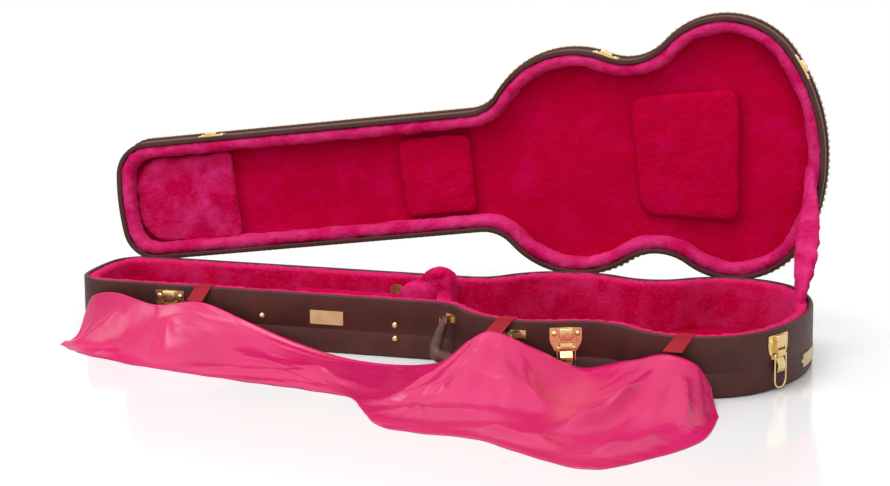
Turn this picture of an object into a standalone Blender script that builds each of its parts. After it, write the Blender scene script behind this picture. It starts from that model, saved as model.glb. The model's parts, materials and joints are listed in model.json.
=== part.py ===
"""Electric guitar case standing open on its flat bottom, with its lining, hardware and satin cover.

Metres, +Z up. X runs along the line of the hinges, which are at +Y, and the origin is the middle of
the bottom face. Places on the plan are given first on the case's own centre line: u from the head
end to the tail end, v across it and positive on the hinge side. The centre line leans away from the
hinge line, so that the head corner, the upper bout and the lower bout all touch the hinge line.
"""

from math import acos, asin, atan2, ceil, cos, degrees, pi, radians, sin, sqrt

import bmesh
import bpy
from mathutils import Matrix, Vector

# Plan of the outer wall
CASE_LENGTH = 1.075
HEAD_END_RADIUS = 0.36
HEAD_CORNER_RADIUS = 0.051
NECK_HALF_WIDTH = 0.09
SHOULDER_RADIUS = 0.054
UPPER_BOUT_FROM_TAIL = 0.3655
UPPER_BOUT_RADIUS = 0.1365
WAIST_RADIUS = 0.077
LOWER_BOUT_FROM_TAIL = 0.138
LOWER_BOUT_OFFSET = 0.075
LOWER_BOUT_RADIUS = 0.1185
ARC_STEP = radians(12)
HOLLOW_STEP = radians(7.5)

# Shells
BASE_DEPTH = 0.0845
LID_DEPTH = 0.045
SEAM = 0.0015
WALL = 0.007
PANEL = 0.005
BOTTOM_EDGE = 0.006
LID_CROWN = 0.007
WELT_STAND = 0.003
WELT_HEIGHT = 0.010
GAP = 0.0003
LID_OPEN = radians(93)

# Lining and pads
SIDE_PADDING = 0.016
FLOOR_PADDING = 0.008
LINING_TOP_GAP = 0.001
PAD_THICKNESS = 0.014
HEAD_PAD = ((0.030, -0.060), (0.179, -0.060), (0.182, 0.062), (0.030, 0.062))
HEAD_PAD_ROUND = 0.045
NECK_PAD = ((0.440, -0.057), (0.552, -0.057), (0.552, 0.061), (0.440, 0.061))
BODY_PAD_FROM_TAIL = ((0.278, -0.088), (0.115, -0.088), (0.135, 0.108), (0.280, 0.108))
PAD_ROUND = 0.014

# Neck cradle and accessory compartment
CRADLE_FROM_HEAD = 0.4975
CRADLE_LENGTH = 0.050
CRADLE_TOP = 0.1015
CRADLE_NOTCH_WIDTH = 0.063
NECK_REST = 0.060
PARTITION_FROM_HEAD = 0.297
PARTITION = 0.008
COMPARTMENT_LID = 0.0065
TAB_SIZE = (0.019, 0.003, 0.014)
TAB_BEFORE_CRADLE = 0.042
TAB_FROM_EDGE = 0.012

# Latches: head, waist and tail
LATCHES = (
    ("head_latch", 0.158),
    ("waist_latch", CASE_LENGTH - 0.305),
    ("tail_latch", CASE_LENGTH - 0.0225),
)
LOCKING_LATCH = "waist_latch"
LATCH_BELOW_RIM = 0.008
LATCH_HEIGHT = 0.033
LATCH_SIDE = 0.019
LATCH_HALF_WIDTH = 0.022
LATCH_FOOT_HALF_WIDTH = 0.015
SHEET_METAL = 0.0012
HOUSING_HALF_WIDTH = 0.0095
HOUSING_HEIGHT = 0.018
HOUSING_STAND = 0.0065
LEVER_HALF_WIDTH = 0.0085
LEVER_LENGTH = 0.029
EAR = 0.0015
PIN_RADIUS = 0.001
RUNNING_CLEARANCE = 0.0002
BAIL_WIRE = 0.0013
BAIL_HALF_WIDTH = 0.0125
BAIL_LENGTH = 0.0455
BAIL_CORNER = 0.0105
BAIL_ENTRY = 0.0013
CATCH_HALF_WIDTH = 0.020
CATCH_HEIGHT = 0.020
CATCH_ABOVE_SEAM = 0.0015
HOOK_HALF_WIDTH = 0.009
HOOK_STAND = 0.0068
HOOK_HEIGHT = 0.0048
LOCK_RADIUS = 0.0037
LOCK_DEPTH = 0.003

# Handle
HANDLE_BRACKETS = (CASE_LENGTH - 0.483, CASE_LENGTH - 0.369)
HANDLE_BELOW_RIM = 0.0185
HANDLE_STAND = 0.0145
HANDLE_TILT = radians(19)
BRACKET_HALF_WIDTH = 0.012
BRACKET_HEIGHT = 0.012
GRIP_DROP = 0.051
GRIP_WIDTH = 0.015
GRIP_THICKNESS = 0.016
GRIP_END_WIDTH = 0.010
GRIP_END_THICKNESS = 0.0075
GRIP_CORNER = 0.019
HANDLE_PIN_RADIUS = 0.0016
EAR_ROUND = 0.0035

# Hinges
HINGE_BEHIND_WALL = 0.0034
HINGE_BELOW_RIM = 0.0125
HINGE_HALF_WIDTH = 0.012
HINGE_LEAF_HEIGHT = 0.017
HINGE_LID_LEAF_HEIGHT = 0.0255
KNUCKLE_RADIUS = 0.0030
HINGE_PIN_RADIUS = 0.0012
MIDDLE_KNUCKLE = 0.009
KNUCKLE_GAP = 0.0005

# Plates and studs
NAMEPLATE_FROM_HEAD = 0.400
NAMEPLATE_SIZE = (0.050, 0.020)
NAMEPLATE_BELOW_RIM = 0.0328
END_PLATE_SIZE = (0.072, 0.018)
END_PLATE_TAB = 0.005
END_PLATE_HEIGHT = 0.0235
STUD_RADIUS = 0.0042
STUD_STAND = 0.003
STUDS = (
    ("stud_compartment", 0.3007, 0.048),
    ("stud_cradle_upper", 0.5023, 0.0475),
    ("stud_cradle_lower", 0.5023, 0.028),
)

# Lid stay
STAY_WIDTH = 0.030
STAY_END_WIDTH = 0.018
STAY_THICKNESS = 0.008
STAY_TWIST = radians(72)
STAY_CLEARANCE = 0.0022
STAY_BEYOND_TAIL = 0.053
STAY_SEWN = 0.018
STAY_BOW = (-0.002, -0.012, -0.002)

# Satin cover on its ribbons
RIBBON_WIDTH = 0.024
RIBBON = 0.0006
RIBBONS = (
    ("ribbon_head", 0.2110, 0.0090),
    ("ribbon_waist", CASE_LENGTH - 0.3870, 0.0120),
    ("ribbon_body", CASE_LENGTH - 0.1305, 0.0130),
)
COVER_THICKNESS = 0.003
COVER_STAND = 0.018

RIM = BASE_DEPTH
LID_RIM = RIM + SEAM
LID_TOP = LID_RIM + LID_DEPTH
UNDER_CRADLE = PANEL + GAP + FLOOR_PADDING + GAP


# Colours: colour, roughness and metallic value of each finish
FINISHES = {
    "leatherette": ((0.085, 0.030, 0.024), 0.55, 0.0),
    "welt": ((0.19, 0.10, 0.07), 0.5, 0.0),
    "plush": ((0.55, 0.005, 0.10), 0.9, 0.0),
    "satin": ((0.85, 0.03, 0.15), 0.35, 0.0),
    "ribbon": ((0.42, 0.01, 0.03), 0.6, 0.0),
    "brass": ((0.80, 0.62, 0.34), 0.25, 1.0),
    "grip_leather": ((0.07, 0.026, 0.020), 0.5, 0.0),
}


def finish(name):
    """The material of that name, made once."""
    if name in bpy.data.materials:
        return bpy.data.materials[name]
    colour, roughness, metallic = FINISHES[name]
    material = bpy.data.materials.new(name)
    material.use_nodes = True
    shader = material.node_tree.nodes["Principled BSDF"]
    shader.inputs["Base Color"].default_value = (*colour, 1)
    shader.inputs["Roughness"].default_value = roughness
    shader.inputs["Metallic"].default_value = metallic
    return material


class Arc:
    """A round stretch of the plan. One that turns left bulges outwards."""

    def __init__(self, centre, radius, start, end):
        self.centre, self.radius, self.start, self.sweep = centre, radius, start, end - start
        self.length = radius * abs(self.sweep)
        self.steps = max(1, ceil(abs(self.sweep) / (ARC_STEP if self.sweep > 0 else HOLLOW_STEP) - 0.25))

    def at(self, share, inset):
        """Point and outward direction at a share of the stretch, on the outline moved in by inset."""
        angle = self.start + self.sweep * share
        out = Vector((cos(angle), sin(angle)))
        if self.sweep > 0:
            return self.centre + out * (self.radius - inset), out
        return self.centre + out * (self.radius + inset), -out


class Line:
    """A straight stretch of the plan, with the outside on its right."""

    def __init__(self, start, end):
        self.start, self.along = start, end - start
        self.length = self.along.length
        self.steps = 2

    def at(self, share, inset):
        out = Vector((self.along.y, -self.along.x)).normalized()
        return self.start + self.along * share - out * inset, out


def angle_to(centre, point):
    return atan2(point[1] - centre[1], point[0] - centre[0])


def lean(corner, lower):
    """The angle between the centre line and the hinge line, which touches head corner and lower bout."""
    apart = lower - corner
    return asin((LOWER_BOUT_RADIUS - HEAD_CORNER_RADIUS) / apart.length) - atan2(apart.y, apart.x)


def front_half():
    """The plan from the head end to the tail end on the front side, where v is negative."""
    neck_v = -NECK_HALF_WIDTH
    lower = Vector((CASE_LENGTH - LOWER_BOUT_FROM_TAIL, -LOWER_BOUT_OFFSET))
    from_tail = LOWER_BOUT_RADIUS - LOWER_BOUT_FROM_TAIL
    tail_radius = (LOWER_BOUT_RADIUS**2 - LOWER_BOUT_FROM_TAIL**2 - LOWER_BOUT_OFFSET**2) / (2 * from_tail)
    tail = Vector((CASE_LENGTH - tail_radius, 0))
    # The head corner touches the neck line and the head end's arc from inside.
    head = Vector((HEAD_END_RADIUS, 0))
    corner_v = neck_v + HEAD_CORNER_RADIUS
    corner = Vector((head.x - sqrt((HEAD_END_RADIUS - HEAD_CORNER_RADIUS) ** 2 - corner_v**2), corner_v))
    # The upper bout touches the same hinge line as the head corner and the lower bout.
    slope = lean(corner, lower)
    upper_u = CASE_LENGTH - UPPER_BOUT_FROM_TAIL
    across = LOWER_BOUT_RADIUS - UPPER_BOUT_RADIUS + sin(slope) * (upper_u - lower.x)
    upper = Vector((upper_u, lower.y - across / cos(slope)))
    # The shoulder touches the neck line and the upper bout from outside.
    shoulder_v = neck_v - SHOULDER_RADIUS
    reach = UPPER_BOUT_RADIUS + SHOULDER_RADIUS
    shoulder = Vector((upper.x - sqrt(reach**2 - (shoulder_v - upper.y) ** 2), shoulder_v))
    # The waist touches both bouts from outside.
    apart = lower - upper
    to_upper, to_lower = UPPER_BOUT_RADIUS + WAIST_RADIUS, LOWER_BOUT_RADIUS + WAIST_RADIUS
    along = (to_upper**2 - to_lower**2 + apart.length**2) / (2 * apart.length)
    sideways = Vector((apart.y, -apart.x)).normalized()
    waist = upper + apart.normalized() * along + sideways * sqrt(to_upper**2 - along**2)
    meet_head = angle_to(head, corner) % (2 * pi)
    down = 1.5 * pi
    return [
        Arc(head, HEAD_END_RADIUS, pi, meet_head),
        Arc(corner, HEAD_CORNER_RADIUS, meet_head, down),
        Line(Vector((corner.x, neck_v)), Vector((shoulder.x, neck_v))),
        Arc(shoulder, SHOULDER_RADIUS, pi / 2, angle_to(shoulder, upper)),
        Arc(upper, UPPER_BOUT_RADIUS, angle_to(upper, shoulder), angle_to(upper, waist)),
        Arc(waist, WAIST_RADIUS, angle_to(waist, upper), angle_to(waist, lower)),
        Arc(lower, LOWER_BOUT_RADIUS, angle_to(lower, waist), angle_to(tail, lower)),
        Arc(tail, tail_radius, angle_to(tail, lower), 0),
    ]


def mirrored(stretch):
    """The same stretch on the hinge side, run the other way."""
    flip = Vector((1, -1))
    if isinstance(stretch, Line):
        return Line((stretch.start + stretch.along) * flip, stretch.start * flip)
    return Arc(stretch.centre * flip, stretch.radius, -stretch.start - stretch.sweep, -stretch.start)


FRONT = front_half()
PLAN = FRONT + [mirrored(stretch) for stretch in reversed(FRONT)]
HEAD_CORNER, LOWER_BOUT = PLAN[-2], PLAN[-7]
UPPER_BOUT = PLAN[-5]


LEAN = lean(FRONT[1].centre, FRONT[6].centre)
TURN = Matrix.Rotation(-LEAN, 2)
EXTREMES = [TURN @ stretch.at(share / 40, 0)[0] for stretch in PLAN for share in range(41)]
MIDDLE = Vector(
    [(min(p[k] for p in EXTREMES) + max(p[k] for p in EXTREMES)) / 2 for k in range(2)]
)
HINGE_Y = (TURN @ LOWER_BOUT.centre - MIDDLE).y + LOWER_BOUT.radius + HINGE_BEHIND_WALL
HINGE_Z = RIM - HINGE_BELOW_RIM


def plan_point(u, v):
    """A place on the case's own centre line, in world X and Y."""
    return TURN @ Vector((u, v)) - MIDDLE


def outline(inset):
    """World points round the plan, moved in by inset, anticlockwise from the head end."""
    points = []
    for stretch in PLAN:
        for step in range(stretch.steps):
            points.append(TURN @ stretch.at(step / stretch.steps, inset)[0] - MIDDLE)
    return points


def walk(distance, inset=0.0):
    """Point, rightward and outward directions on the wall, this far round the plan from the head end."""
    left = distance % sum(stretch.length for stretch in PLAN)
    for stretch in PLAN:
        if left <= stretch.length:
            break
        left -= stretch.length
    point, out = stretch.at(left / stretch.length, inset)
    out = TURN @ out
    return TURN @ point - MIDDLE, Vector((-out.y, out.x)), out


def front_at(u):
    """Distance round the plan to the place on the front side at u, found by halving."""
    low, high = 0.0, sum(stretch.length for stretch in FRONT)
    for _ in range(40):
        middle = (low + high) / 2
        point = TURN.transposed() @ (walk(middle)[0] + MIDDLE)
        low, high = (middle, high) if point.x < u else (low, middle)
    return low


def wall_frame(distance, height):
    """Axes on the wall: X to the right as seen from outside, Y into the wall, Z up."""
    point, right, out = walk(distance)
    return Matrix(
        (
            (right.x, -out.x, 0, point.x),
            (right.y, -out.y, 0, point.y),
            (0, 0, 1, height),
            (0, 0, 0, 1),
        )
    )


def loft(sections, closed=False):
    """A skin through loops with the same number of points. An open one gets a face at each end."""
    bm = bmesh.new()
    loops = [[bm.verts.new(point) for point in section] for section in sections]
    pairs = list(zip(loops, loops[1:] + (loops[:1] if closed else [])))
    for first, second in pairs:
        for k in range(len(first)):
            bm.faces.new((first[k - 1], first[k], second[k], second[k - 1]))
    if not closed:
        bm.faces.new(loops[0])
        bm.faces.new(loops[-1])
    bmesh.ops.recalc_face_normals(bm, faces=bm.faces)
    return bm


def slab(points, low, high):
    """A flat plate with this plan."""
    return loft([[(x, y, z) for x, y in points] for z in (low, high)])


def ring(profile):
    """A closed ring round the case with this section: pairs of inset and height."""
    loops = [outline(inset) for inset, _ in profile]
    heights = [height for _, height in profile]
    sections = [[(p.x, p.y, z) for p, z in zip(points, heights)] for points in zip(*loops)]
    return loft(sections, closed=True)


def block(low, high):
    """A box between two corners."""
    (x0, y0, z0), (x1, y1, z1) = low, high
    return slab([(x0, y0), (x1, y0), (x1, y1), (x0, y1)], z0, z1)


def bar(profile, x0, x1):
    """A profile of (y, z) points run along X."""
    return loft([[(x, y, z) for y, z in profile] for x in (x0, x1)])


def rod(radius, x0, x1, y=0.0, z=0.0, sides=12):
    """A round bar along X."""
    turns = [2 * pi * k / sides for k in range(sides)]
    return bar([(y + radius * cos(turn), z + radius * sin(turn)) for turn in turns], x0, x1)


def rounded(corners, radius, steps=3):
    """A polygon with its corners rounded. One radius, or one for each corner."""
    radii = radius if isinstance(radius, (list, tuple)) else [radius] * len(corners)
    corners = [Vector(corner) for corner in corners]
    points = []
    for k, (corner, r) in enumerate(zip(corners, radii)):
        back = (corners[k - 1] - corner).normalized()
        ahead = (corners[(k + 1) % len(corners)] - corner).normalized()
        half = acos(max(-1, min(1, back.dot(ahead)))) / 2
        centre = corner + (back + ahead).normalized() * r / sin(half)
        reach = r * cos(half) / sin(half)
        first, last = corner + back * reach, corner + ahead * reach
        for step in range(steps + 1):
            chord = (first - centre).lerp(last - centre, step / steps)
            points.append(centre + chord.normalized() * r)
    return points


def wall_strip(distance, stations, stand, thickness, inset=0.0):
    """A plate bent to the wall. Each station is a distance to the right and the plate's two edges there."""
    sections = []
    for offset, low, high in stations:
        near, far = (walk(distance + offset, inset - s)[0] for s in (stand, stand + thickness))
        sections.append([(*near, low), (*near, high), (*far, high), (*far, low)])
    return loft(sections)


def within_plate(distance, half_width):
    """The Y at which a block on a bent plate starts, so that its back lies inside the plate all over."""
    side = wall_frame(distance, 0).inverted() @ Vector((*walk(distance + half_width)[0], 0))
    return side.y / 2 - GAP - SHEET_METAL / 2


def even_stations(half_width, low, high, count=5):
    """Stations for a plate of even height."""
    return [(half_width * (2 * k / (count - 1) - 1), low, high) for k in range(count)]


def put(name, bm, material, parent=None):
    """Makes the mesh an object. Its points are in the parent's axes."""
    mesh = bpy.data.meshes.new(name)
    bm.to_mesh(mesh)
    bm.free()
    mesh.shade_smooth()
    mesh.set_sharp_from_angle(angle=radians(30))
    mesh.materials.append(finish(material))
    obj = bpy.data.objects.new(name, mesh)
    obj.parent = parent
    bpy.context.scene.collection.objects.link(obj)
    return obj


def shape_with(obj, bm, operation):
    """Joins a helper solid to the object, or cuts it away."""
    helper = put(f"{obj.name}_{operation.lower()}", bm, "brass", obj.parent)
    helper.hide_render = True
    helper.display_type = "WIRE"
    modifier = obj.modifiers.new(helper.name, "BOOLEAN")
    modifier.operation = operation
    modifier.solver = "EXACT"
    modifier.object = helper


def axis(name, matrix, parent=None):
    """An empty on a joint's axis, placed by its world matrix."""
    empty = bpy.data.objects.new(name, None)
    empty.empty_display_size = 0.02
    bpy.context.scene.collection.objects.link(empty)
    empty.parent = parent
    if parent:
        empty.matrix_parent_inverse = parent.matrix_basis.inverted()
    empty.matrix_basis = matrix
    return empty


def moved(bm, matrix):
    bmesh.ops.transform(bm, matrix=matrix, verts=bm.verts)
    return bm


def base_shell():
    edge = BOTTOM_EDGE
    profile = [(0, RIM), (0, edge), (edge * 0.3, edge * 0.3), (edge, 0), (WALL, 0), (WALL, RIM)]
    put("base_wall", ring(profile), "leatherette")
    put("base_bottom", slab(outline(WALL + GAP), 0, PANEL), "leatherette")


def base_lining():
    outside, inside = WALL + GAP, WALL + GAP + SIDE_PADDING
    low, high = PANEL + GAP, RIM - LINING_TOP_GAP
    soft = SIDE_PADDING / 3
    profile = [(outside, low), (inside, low), (inside, high - soft), (inside - soft, high), (outside, high)]
    put("base_side_lining", ring(profile), "plush")
    put("base_floor_lining", slab(outline(inside + GAP), low, low + FLOOR_PADDING), "plush")


def inner_half_width():
    """Half the width of the neck channel between the linings, with a small clearance."""
    return NECK_HALF_WIDTH - WALL - GAP - SIDE_PADDING - 0.0012


def cross_piece(profile, u0, u1):
    """A piece across the neck channel: (v, z) points run along the centre line from u0 to u1."""
    sections = []
    for u in (u0, u1):
        sections.append([(*plan_point(u, v), z) for v, z in profile])
    return loft(sections)


def neck_cradle():
    half, notch = inner_half_width(), CRADLE_NOTCH_WIDTH / 2
    horn = (half - notch) / 2
    middle = notch + horn
    right = [(half, UNDER_CRADLE)]
    for step in range(7):
        angle = pi * step / 6
        right.append((middle + horn * cos(angle), CRADLE_TOP - horn + horn * sin(angle)))
    soft = notch / 2
    for step in range(4):
        angle = radians(30) * step
        right.append((notch - soft + soft * cos(angle), NECK_REST + soft - soft * sin(angle)))
    profile = right + [(-v, z) for v, z in reversed(right)]
    put("neck_cradle", cross_piece(profile, CRADLE_FROM_HEAD, CRADLE_FROM_HEAD + CRADLE_LENGTH), "plush")


def compartment():
    half = inner_half_width()
    lid_low = NECK_REST - 0.002 - COMPARTMENT_LID
    partition_top = lid_low - 0.0015
    u0, u1 = PARTITION_FROM_HEAD, PARTITION_FROM_HEAD + PARTITION
    profile = [(-half, UNDER_CRADLE), (half, UNDER_CRADLE), (half, partition_top), (-half, partition_top)]
    put("compartment_partition", cross_piece(profile, u0, u1), "plush")
    # The lid turns up about its edge over the partition.
    pivot_u, pivot_z = u0 + 0.003, lid_low + COMPARTMENT_LID * 0.7
    end_u = CRADLE_FROM_HEAD - 0.001
    place = Matrix.Translation((*plan_point(pivot_u, 0), pivot_z)) @ TURN.to_4x4()
    hinge = axis("compartment_axis", place)
    across = half - 0.001
    low, high = lid_low - pivot_z, lid_low + COMPARTMENT_LID - pivot_z
    body = block((u0 - pivot_u, -across, low), (end_u - pivot_u, across, high))
    put("compartment_lid", body, "plush", hinge)
    width, thick, tall = TAB_SIZE
    tab_u = CRADLE_FROM_HEAD - TAB_BEFORE_CRADLE - pivot_u
    near = Vector((tab_u - width / 2, half - TAB_FROM_EDGE, high + GAP))
    put("pull_tab", block(near, near + Vector((width, thick, tall))), "brass", hinge)


def lid_hinge_axis():
    """The empty that turns the lid. Its pieces are modelled closed, measured from the hinge line."""
    opened = Matrix.Translation((0, HINGE_Y, HINGE_Z)) @ Matrix.Rotation(-LID_OPEN, 4, "X")
    return axis("lid_axis", opened)


def put_on_lid(name, bm, material, hinge):
    return put(name, moved(bm, Matrix.Translation((0, -HINGE_Y, -HINGE_Z))), material, hinge)


def lid_shell(hinge):
    profile = [(0, LID_RIM), (WALL, LID_RIM), (WALL, LID_TOP), (0, LID_TOP)]
    put_on_lid("lid_wall", ring(profile), "leatherette", hinge)
    edge = WALL + GAP
    rise = ((0, -PANEL), (0, 0), (0.012, 0.6 * LID_CROWN), (0.032, LID_CROWN))
    sections = [[(*point, LID_TOP + height) for point in outline(edge + inset)] for inset, height in rise]
    put_on_lid("lid_top", loft(sections), "leatherette", hinge)
    top, cover = LID_TOP + GAP, LID_TOP + GAP + SHEET_METAL
    profile = [
        (-GAP, LID_TOP - WELT_HEIGHT),
        (-WELT_STAND, LID_TOP - WELT_HEIGHT),
        (-WELT_STAND, LID_TOP - 0.001),
        (-GAP, cover),
        (WALL - 0.001, cover),
        (WALL - 0.001, top),
        (-GAP, top),
    ]
    put_on_lid("lid_welt", ring(profile), "welt", hinge)


def lid_lining(hinge):
    outside, inside = WALL + GAP, WALL + GAP + SIDE_PADDING
    low, high = LID_RIM + LINING_TOP_GAP, LID_TOP - PANEL - GAP
    soft = SIDE_PADDING / 3
    profile = [(outside, high), (outside, low), (inside - soft, low), (inside, low + soft), (inside, high)]
    put_on_lid("lid_side_lining", ring(profile), "plush", hinge)
    put_on_lid("lid_panel_lining", slab(outline(inside + GAP), high - FLOOR_PADDING, high), "plush", hinge)
    pads_top = high - FLOOR_PADDING - GAP
    body_pad = [(CASE_LENGTH - back, v) for back, v in BODY_PAD_FROM_TAIL]
    head_rounds = (HEAD_PAD_ROUND, PAD_ROUND / 2, PAD_ROUND / 2, HEAD_PAD_ROUND)
    pads = (
        ("lid_headstock_pad", HEAD_PAD, head_rounds, 5),
        ("lid_neck_pad", NECK_PAD, PAD_ROUND, 3),
        ("lid_body_pad", body_pad, PAD_ROUND, 3),
    )
    for name, corners, radius, steps in pads:
        points = [plan_point(u, v) for u, v in rounded(corners, radius, steps)]
        put_on_lid(name, slab(points, pads_top - PAD_THICKNESS, pads_top), "plush", hinge)


def latch_plate(name, distance):
    top, bottom = RIM - LATCH_BELOW_RIM, RIM - LATCH_BELOW_RIM - LATCH_HEIGHT
    side_low = top - LATCH_SIDE
    foot = LATCH_FOOT_HALF_WIDTH
    right = ((foot / 2, bottom), (foot, bottom), (LATCH_HALF_WIDTH, side_low))
    stations = [(-offset, low, top) for offset, low in reversed(right)] + [(0, bottom, top)]
    stations += [(offset, low, top) for offset, low in right]
    return put(f"{name}_plate", wall_strip(distance, stations, GAP, SHEET_METAL), "brass")


def latch(name, distance):
    """A draw latch: a plate with a raised housing, a lever below it and a wire bail on the lever."""
    plate = latch_plate(name, distance)
    top = RIM - LATCH_BELOW_RIM
    housing_low = top - HOUSING_HEIGHT
    pivot_z = housing_low - 0.004
    pivot_y = -HOUSING_STAND + 0.0018
    bail_z = pivot_z - 0.0048
    frame = wall_frame(distance, 0)
    ear_in = LEVER_HALF_WIDTH + GAP
    inside = within_plate(distance, ear_in + EAR)
    half = HOUSING_HALF_WIDTH
    housing = block((-half, -HOUSING_STAND, housing_low), (half, inside, top - 0.0005))
    shape_with(plate, moved(housing, frame), "UNION")
    for side in (-1, 1):
        x0, x1 = sorted((side * ear_in, side * (ear_in + EAR)))
        ear = block((x0, -HOUSING_STAND - 0.0001, pivot_z - 0.0025), (x1, inside, housing_low + 0.001))
        shape_with(plate, moved(ear, frame), "UNION")
    bore = rod(PIN_RADIUS + RUNNING_CLEARANCE, -ear_in - 2 * EAR, ear_in + 2 * EAR, pivot_y, pivot_z)
    shape_with(plate, moved(bore, frame), "DIFFERENCE")

    lever_axis = axis(f"{name}_lever_axis", frame @ Matrix.Translation((0, pivot_y, pivot_z)))
    front, tip = -HOUSING_STAND - pivot_y, -LEVER_LENGTH
    profile = [
        (front, 0.0014),
        (front - 0.0007, -0.0035),
        (front - 0.0007, -0.0062),
        (front + 0.0028, -0.0105),
        (front - 0.0010, -0.0185),
        (front - 0.0007, -0.0245),
        (front + 0.0015, tip),
        (front + 0.0031, tip + 0.0007),
        (front + 0.0010, -0.0240),
        (front + 0.0008, -0.0193),
        (front + 0.0044, -0.0115),
        (front + 0.0040, -0.0040),
        (front + 0.0036, 0.0014),
    ]
    lever = put(f"{name}_lever", bar(profile, -LEVER_HALF_WIDTH, LEVER_HALF_WIDTH), "brass", lever_axis)
    shape_with(lever, rod(PIN_RADIUS, -ear_in - EAR, ear_in + EAR), "UNION")
    bail_drop = bail_z - pivot_z
    bail_hole = rod(BAIL_WIRE + RUNNING_CLEARANCE, -0.02, 0.02, 0, bail_drop)
    shape_with(lever, bail_hole, "DIFFERENCE")

    bail_axis = axis(f"{name}_bail_axis", frame @ Matrix.Translation((0, pivot_y, bail_z)))
    bail(f"{name}_bail", bail_axis)
    if name == LOCKING_LATCH:
        lock(plate, frame, (top + housing_low) / 2)


def bail(name, parent):
    """A wire loop: its two ends turn in to the lever, and its middle hooks over the catch."""
    end = LEVER_HALF_WIDTH - BAIL_ENTRY
    corners = [
        (Vector((BAIL_HALF_WIDTH, 0)), 0.002, 0),
        (Vector((BAIL_HALF_WIDTH, -BAIL_LENGTH)), BAIL_CORNER, -pi / 2),
    ]
    right = [Vector((end, 0))]
    for corner, radius, turn in corners:
        centre = corner + radius * Vector((-1, -1 if turn == 0 else 1))
        steps = 3 if turn == 0 else 6
        for step in range(steps + 1):
            angle = (pi / 2 if turn == 0 else 0) - step * pi / 2 / steps
            right.append(centre + radius * Vector((cos(angle), sin(angle))))
    points = [(-p.x, p.y) for p in right] + [(p.x, p.y) for p in reversed(right)]
    curve = bpy.data.curves.new(name, "CURVE")
    curve.dimensions = "3D"
    curve.bevel_depth = BAIL_WIRE
    curve.bevel_resolution = 2
    curve.use_fill_caps = True
    spline = curve.splines.new("POLY")
    spline.points.add(len(points) - 1)
    for knot, (x, z) in zip(spline.points, points):
        knot.co = (x, 0, z, 1)
    curve.materials.append(finish("brass"))
    obj = bpy.data.objects.new(name, curve)
    obj.parent = parent
    bpy.context.scene.collection.objects.link(obj)


def lock(plate, frame, height):
    """The lock's plug sits in a round recess of the housing and turns a quarter with the key."""
    front, back = -HOUSING_STAND - 0.0005, -HOUSING_STAND + LOCK_DEPTH
    upright = Matrix.Rotation(pi / 2, 4, "Z")
    place = frame @ Matrix.Translation((0, 0, height))
    recess = moved(rod(LOCK_RADIUS + GAP, front - 0.001, back + GAP, sides=20), upright)
    shape_with(plate, moved(recess, place), "DIFFERENCE")
    turning = axis("lock_axis", place)
    plug = put("lock_plug", moved(rod(LOCK_RADIUS, front, back, sides=20), upright), "brass", turning)
    shape_with(plug, block((-0.0005, front - 0.001, -0.0022), (0.0005, front + 0.001, 0.0022)), "DIFFERENCE")


def catch(name, distance, hinge):
    """The part of a latch on the lid: a plate with a hook that the bail goes over."""
    low = LID_RIM + CATCH_ABOVE_SEAM
    plate = wall_strip(distance, even_stations(CATCH_HALF_WIDTH, low, low + CATCH_HEIGHT), GAP, SHEET_METAL)
    obj = put_on_lid(f"{name}_catch", plate, "brass", hinge)
    hook_low = low + 0.001
    inside = within_plate(distance, HOOK_HALF_WIDTH)
    hook = block((-HOOK_HALF_WIDTH, -HOOK_STAND, hook_low), (HOOK_HALF_WIDTH, inside, hook_low + HOOK_HEIGHT))
    hook = moved(hook, Matrix.Translation((0, -HINGE_Y, -HINGE_Z)) @ wall_frame(distance, 0))
    shape_with(obj, hook, "UNION")


def handle():
    """A leather grip on two brackets, which swings out and up about the line between them."""
    height = RIM - HANDLE_BELOW_RIM
    places = [walk(front_at(u)) for u in HANDLE_BRACKETS]
    (left, _, _), (right, _, _) = places
    along = (right - left).normalized()
    out = Vector((along.y, -along.x))
    middle = (left + right) / 2 + out * HANDLE_STAND
    half_span = (right - left).length / 2
    frame = Matrix(
        (
            (along.x, -out.x, 0, middle.x),
            (along.y, -out.y, 0, middle.y),
            (0, 0, 1, height),
            (0, 0, 0, 1),
        )
    )
    swing = axis("handle_axis", frame @ Matrix.Rotation(-HANDLE_TILT, 4, "X"))
    ear_out = GRIP_END_WIDTH / 2 + GAP + EAR
    for side, u in zip((-1, 1), HANDLE_BRACKETS):
        name = "left" if side < 0 else "right"
        distance = front_at(u)
        low, high = height - BRACKET_HEIGHT / 2, height + BRACKET_HEIGHT / 2
        stations = even_stations(BRACKET_HALF_WIDTH, low, high)
        bracket = put(f"handle_bracket_{name}", wall_strip(distance, stations, GAP, SHEET_METAL), "brass")
        # Two ears stand out from the plate, square to the line between the brackets.
        for ear_side in (-1, 1):
            x0, x1 = sorted(side * half_span + ear_side * reach for reach in (ear_out - EAR, ear_out))
            roots = []
            for x in (x1, x0):
                place = walk(distance + x - side * half_span, -GAP - SHEET_METAL / 2)[0]
                roots.append((x, (frame.inverted() @ Vector((*place, height))).y))
            ear = slab([(x0, -EAR_ROUND), (x1, -EAR_ROUND)] + roots, -EAR_ROUND, EAR_ROUND)
            shape_with(bracket, moved(ear, frame), "UNION")
        bore = rod(HANDLE_PIN_RADIUS + RUNNING_CLEARANCE, side * half_span - 0.02, side * half_span + 0.02)
        shape_with(bracket, moved(bore, frame), "DIFFERENCE")
        x0, x1 = side * half_span - ear_out, side * half_span + ear_out
        put(f"handle_pin_{name}", rod(HANDLE_PIN_RADIUS, x0, x1), "brass", swing)
    grip = put("handle_grip", grip_body(half_span), "grip_leather", swing)
    for side in (-1, 1):
        x0, x1 = side * half_span - 0.02, side * half_span + 0.02
        shape_with(grip, rod(HANDLE_PIN_RADIUS + RUNNING_CLEARANCE, x0, x1), "DIFFERENCE")


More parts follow.
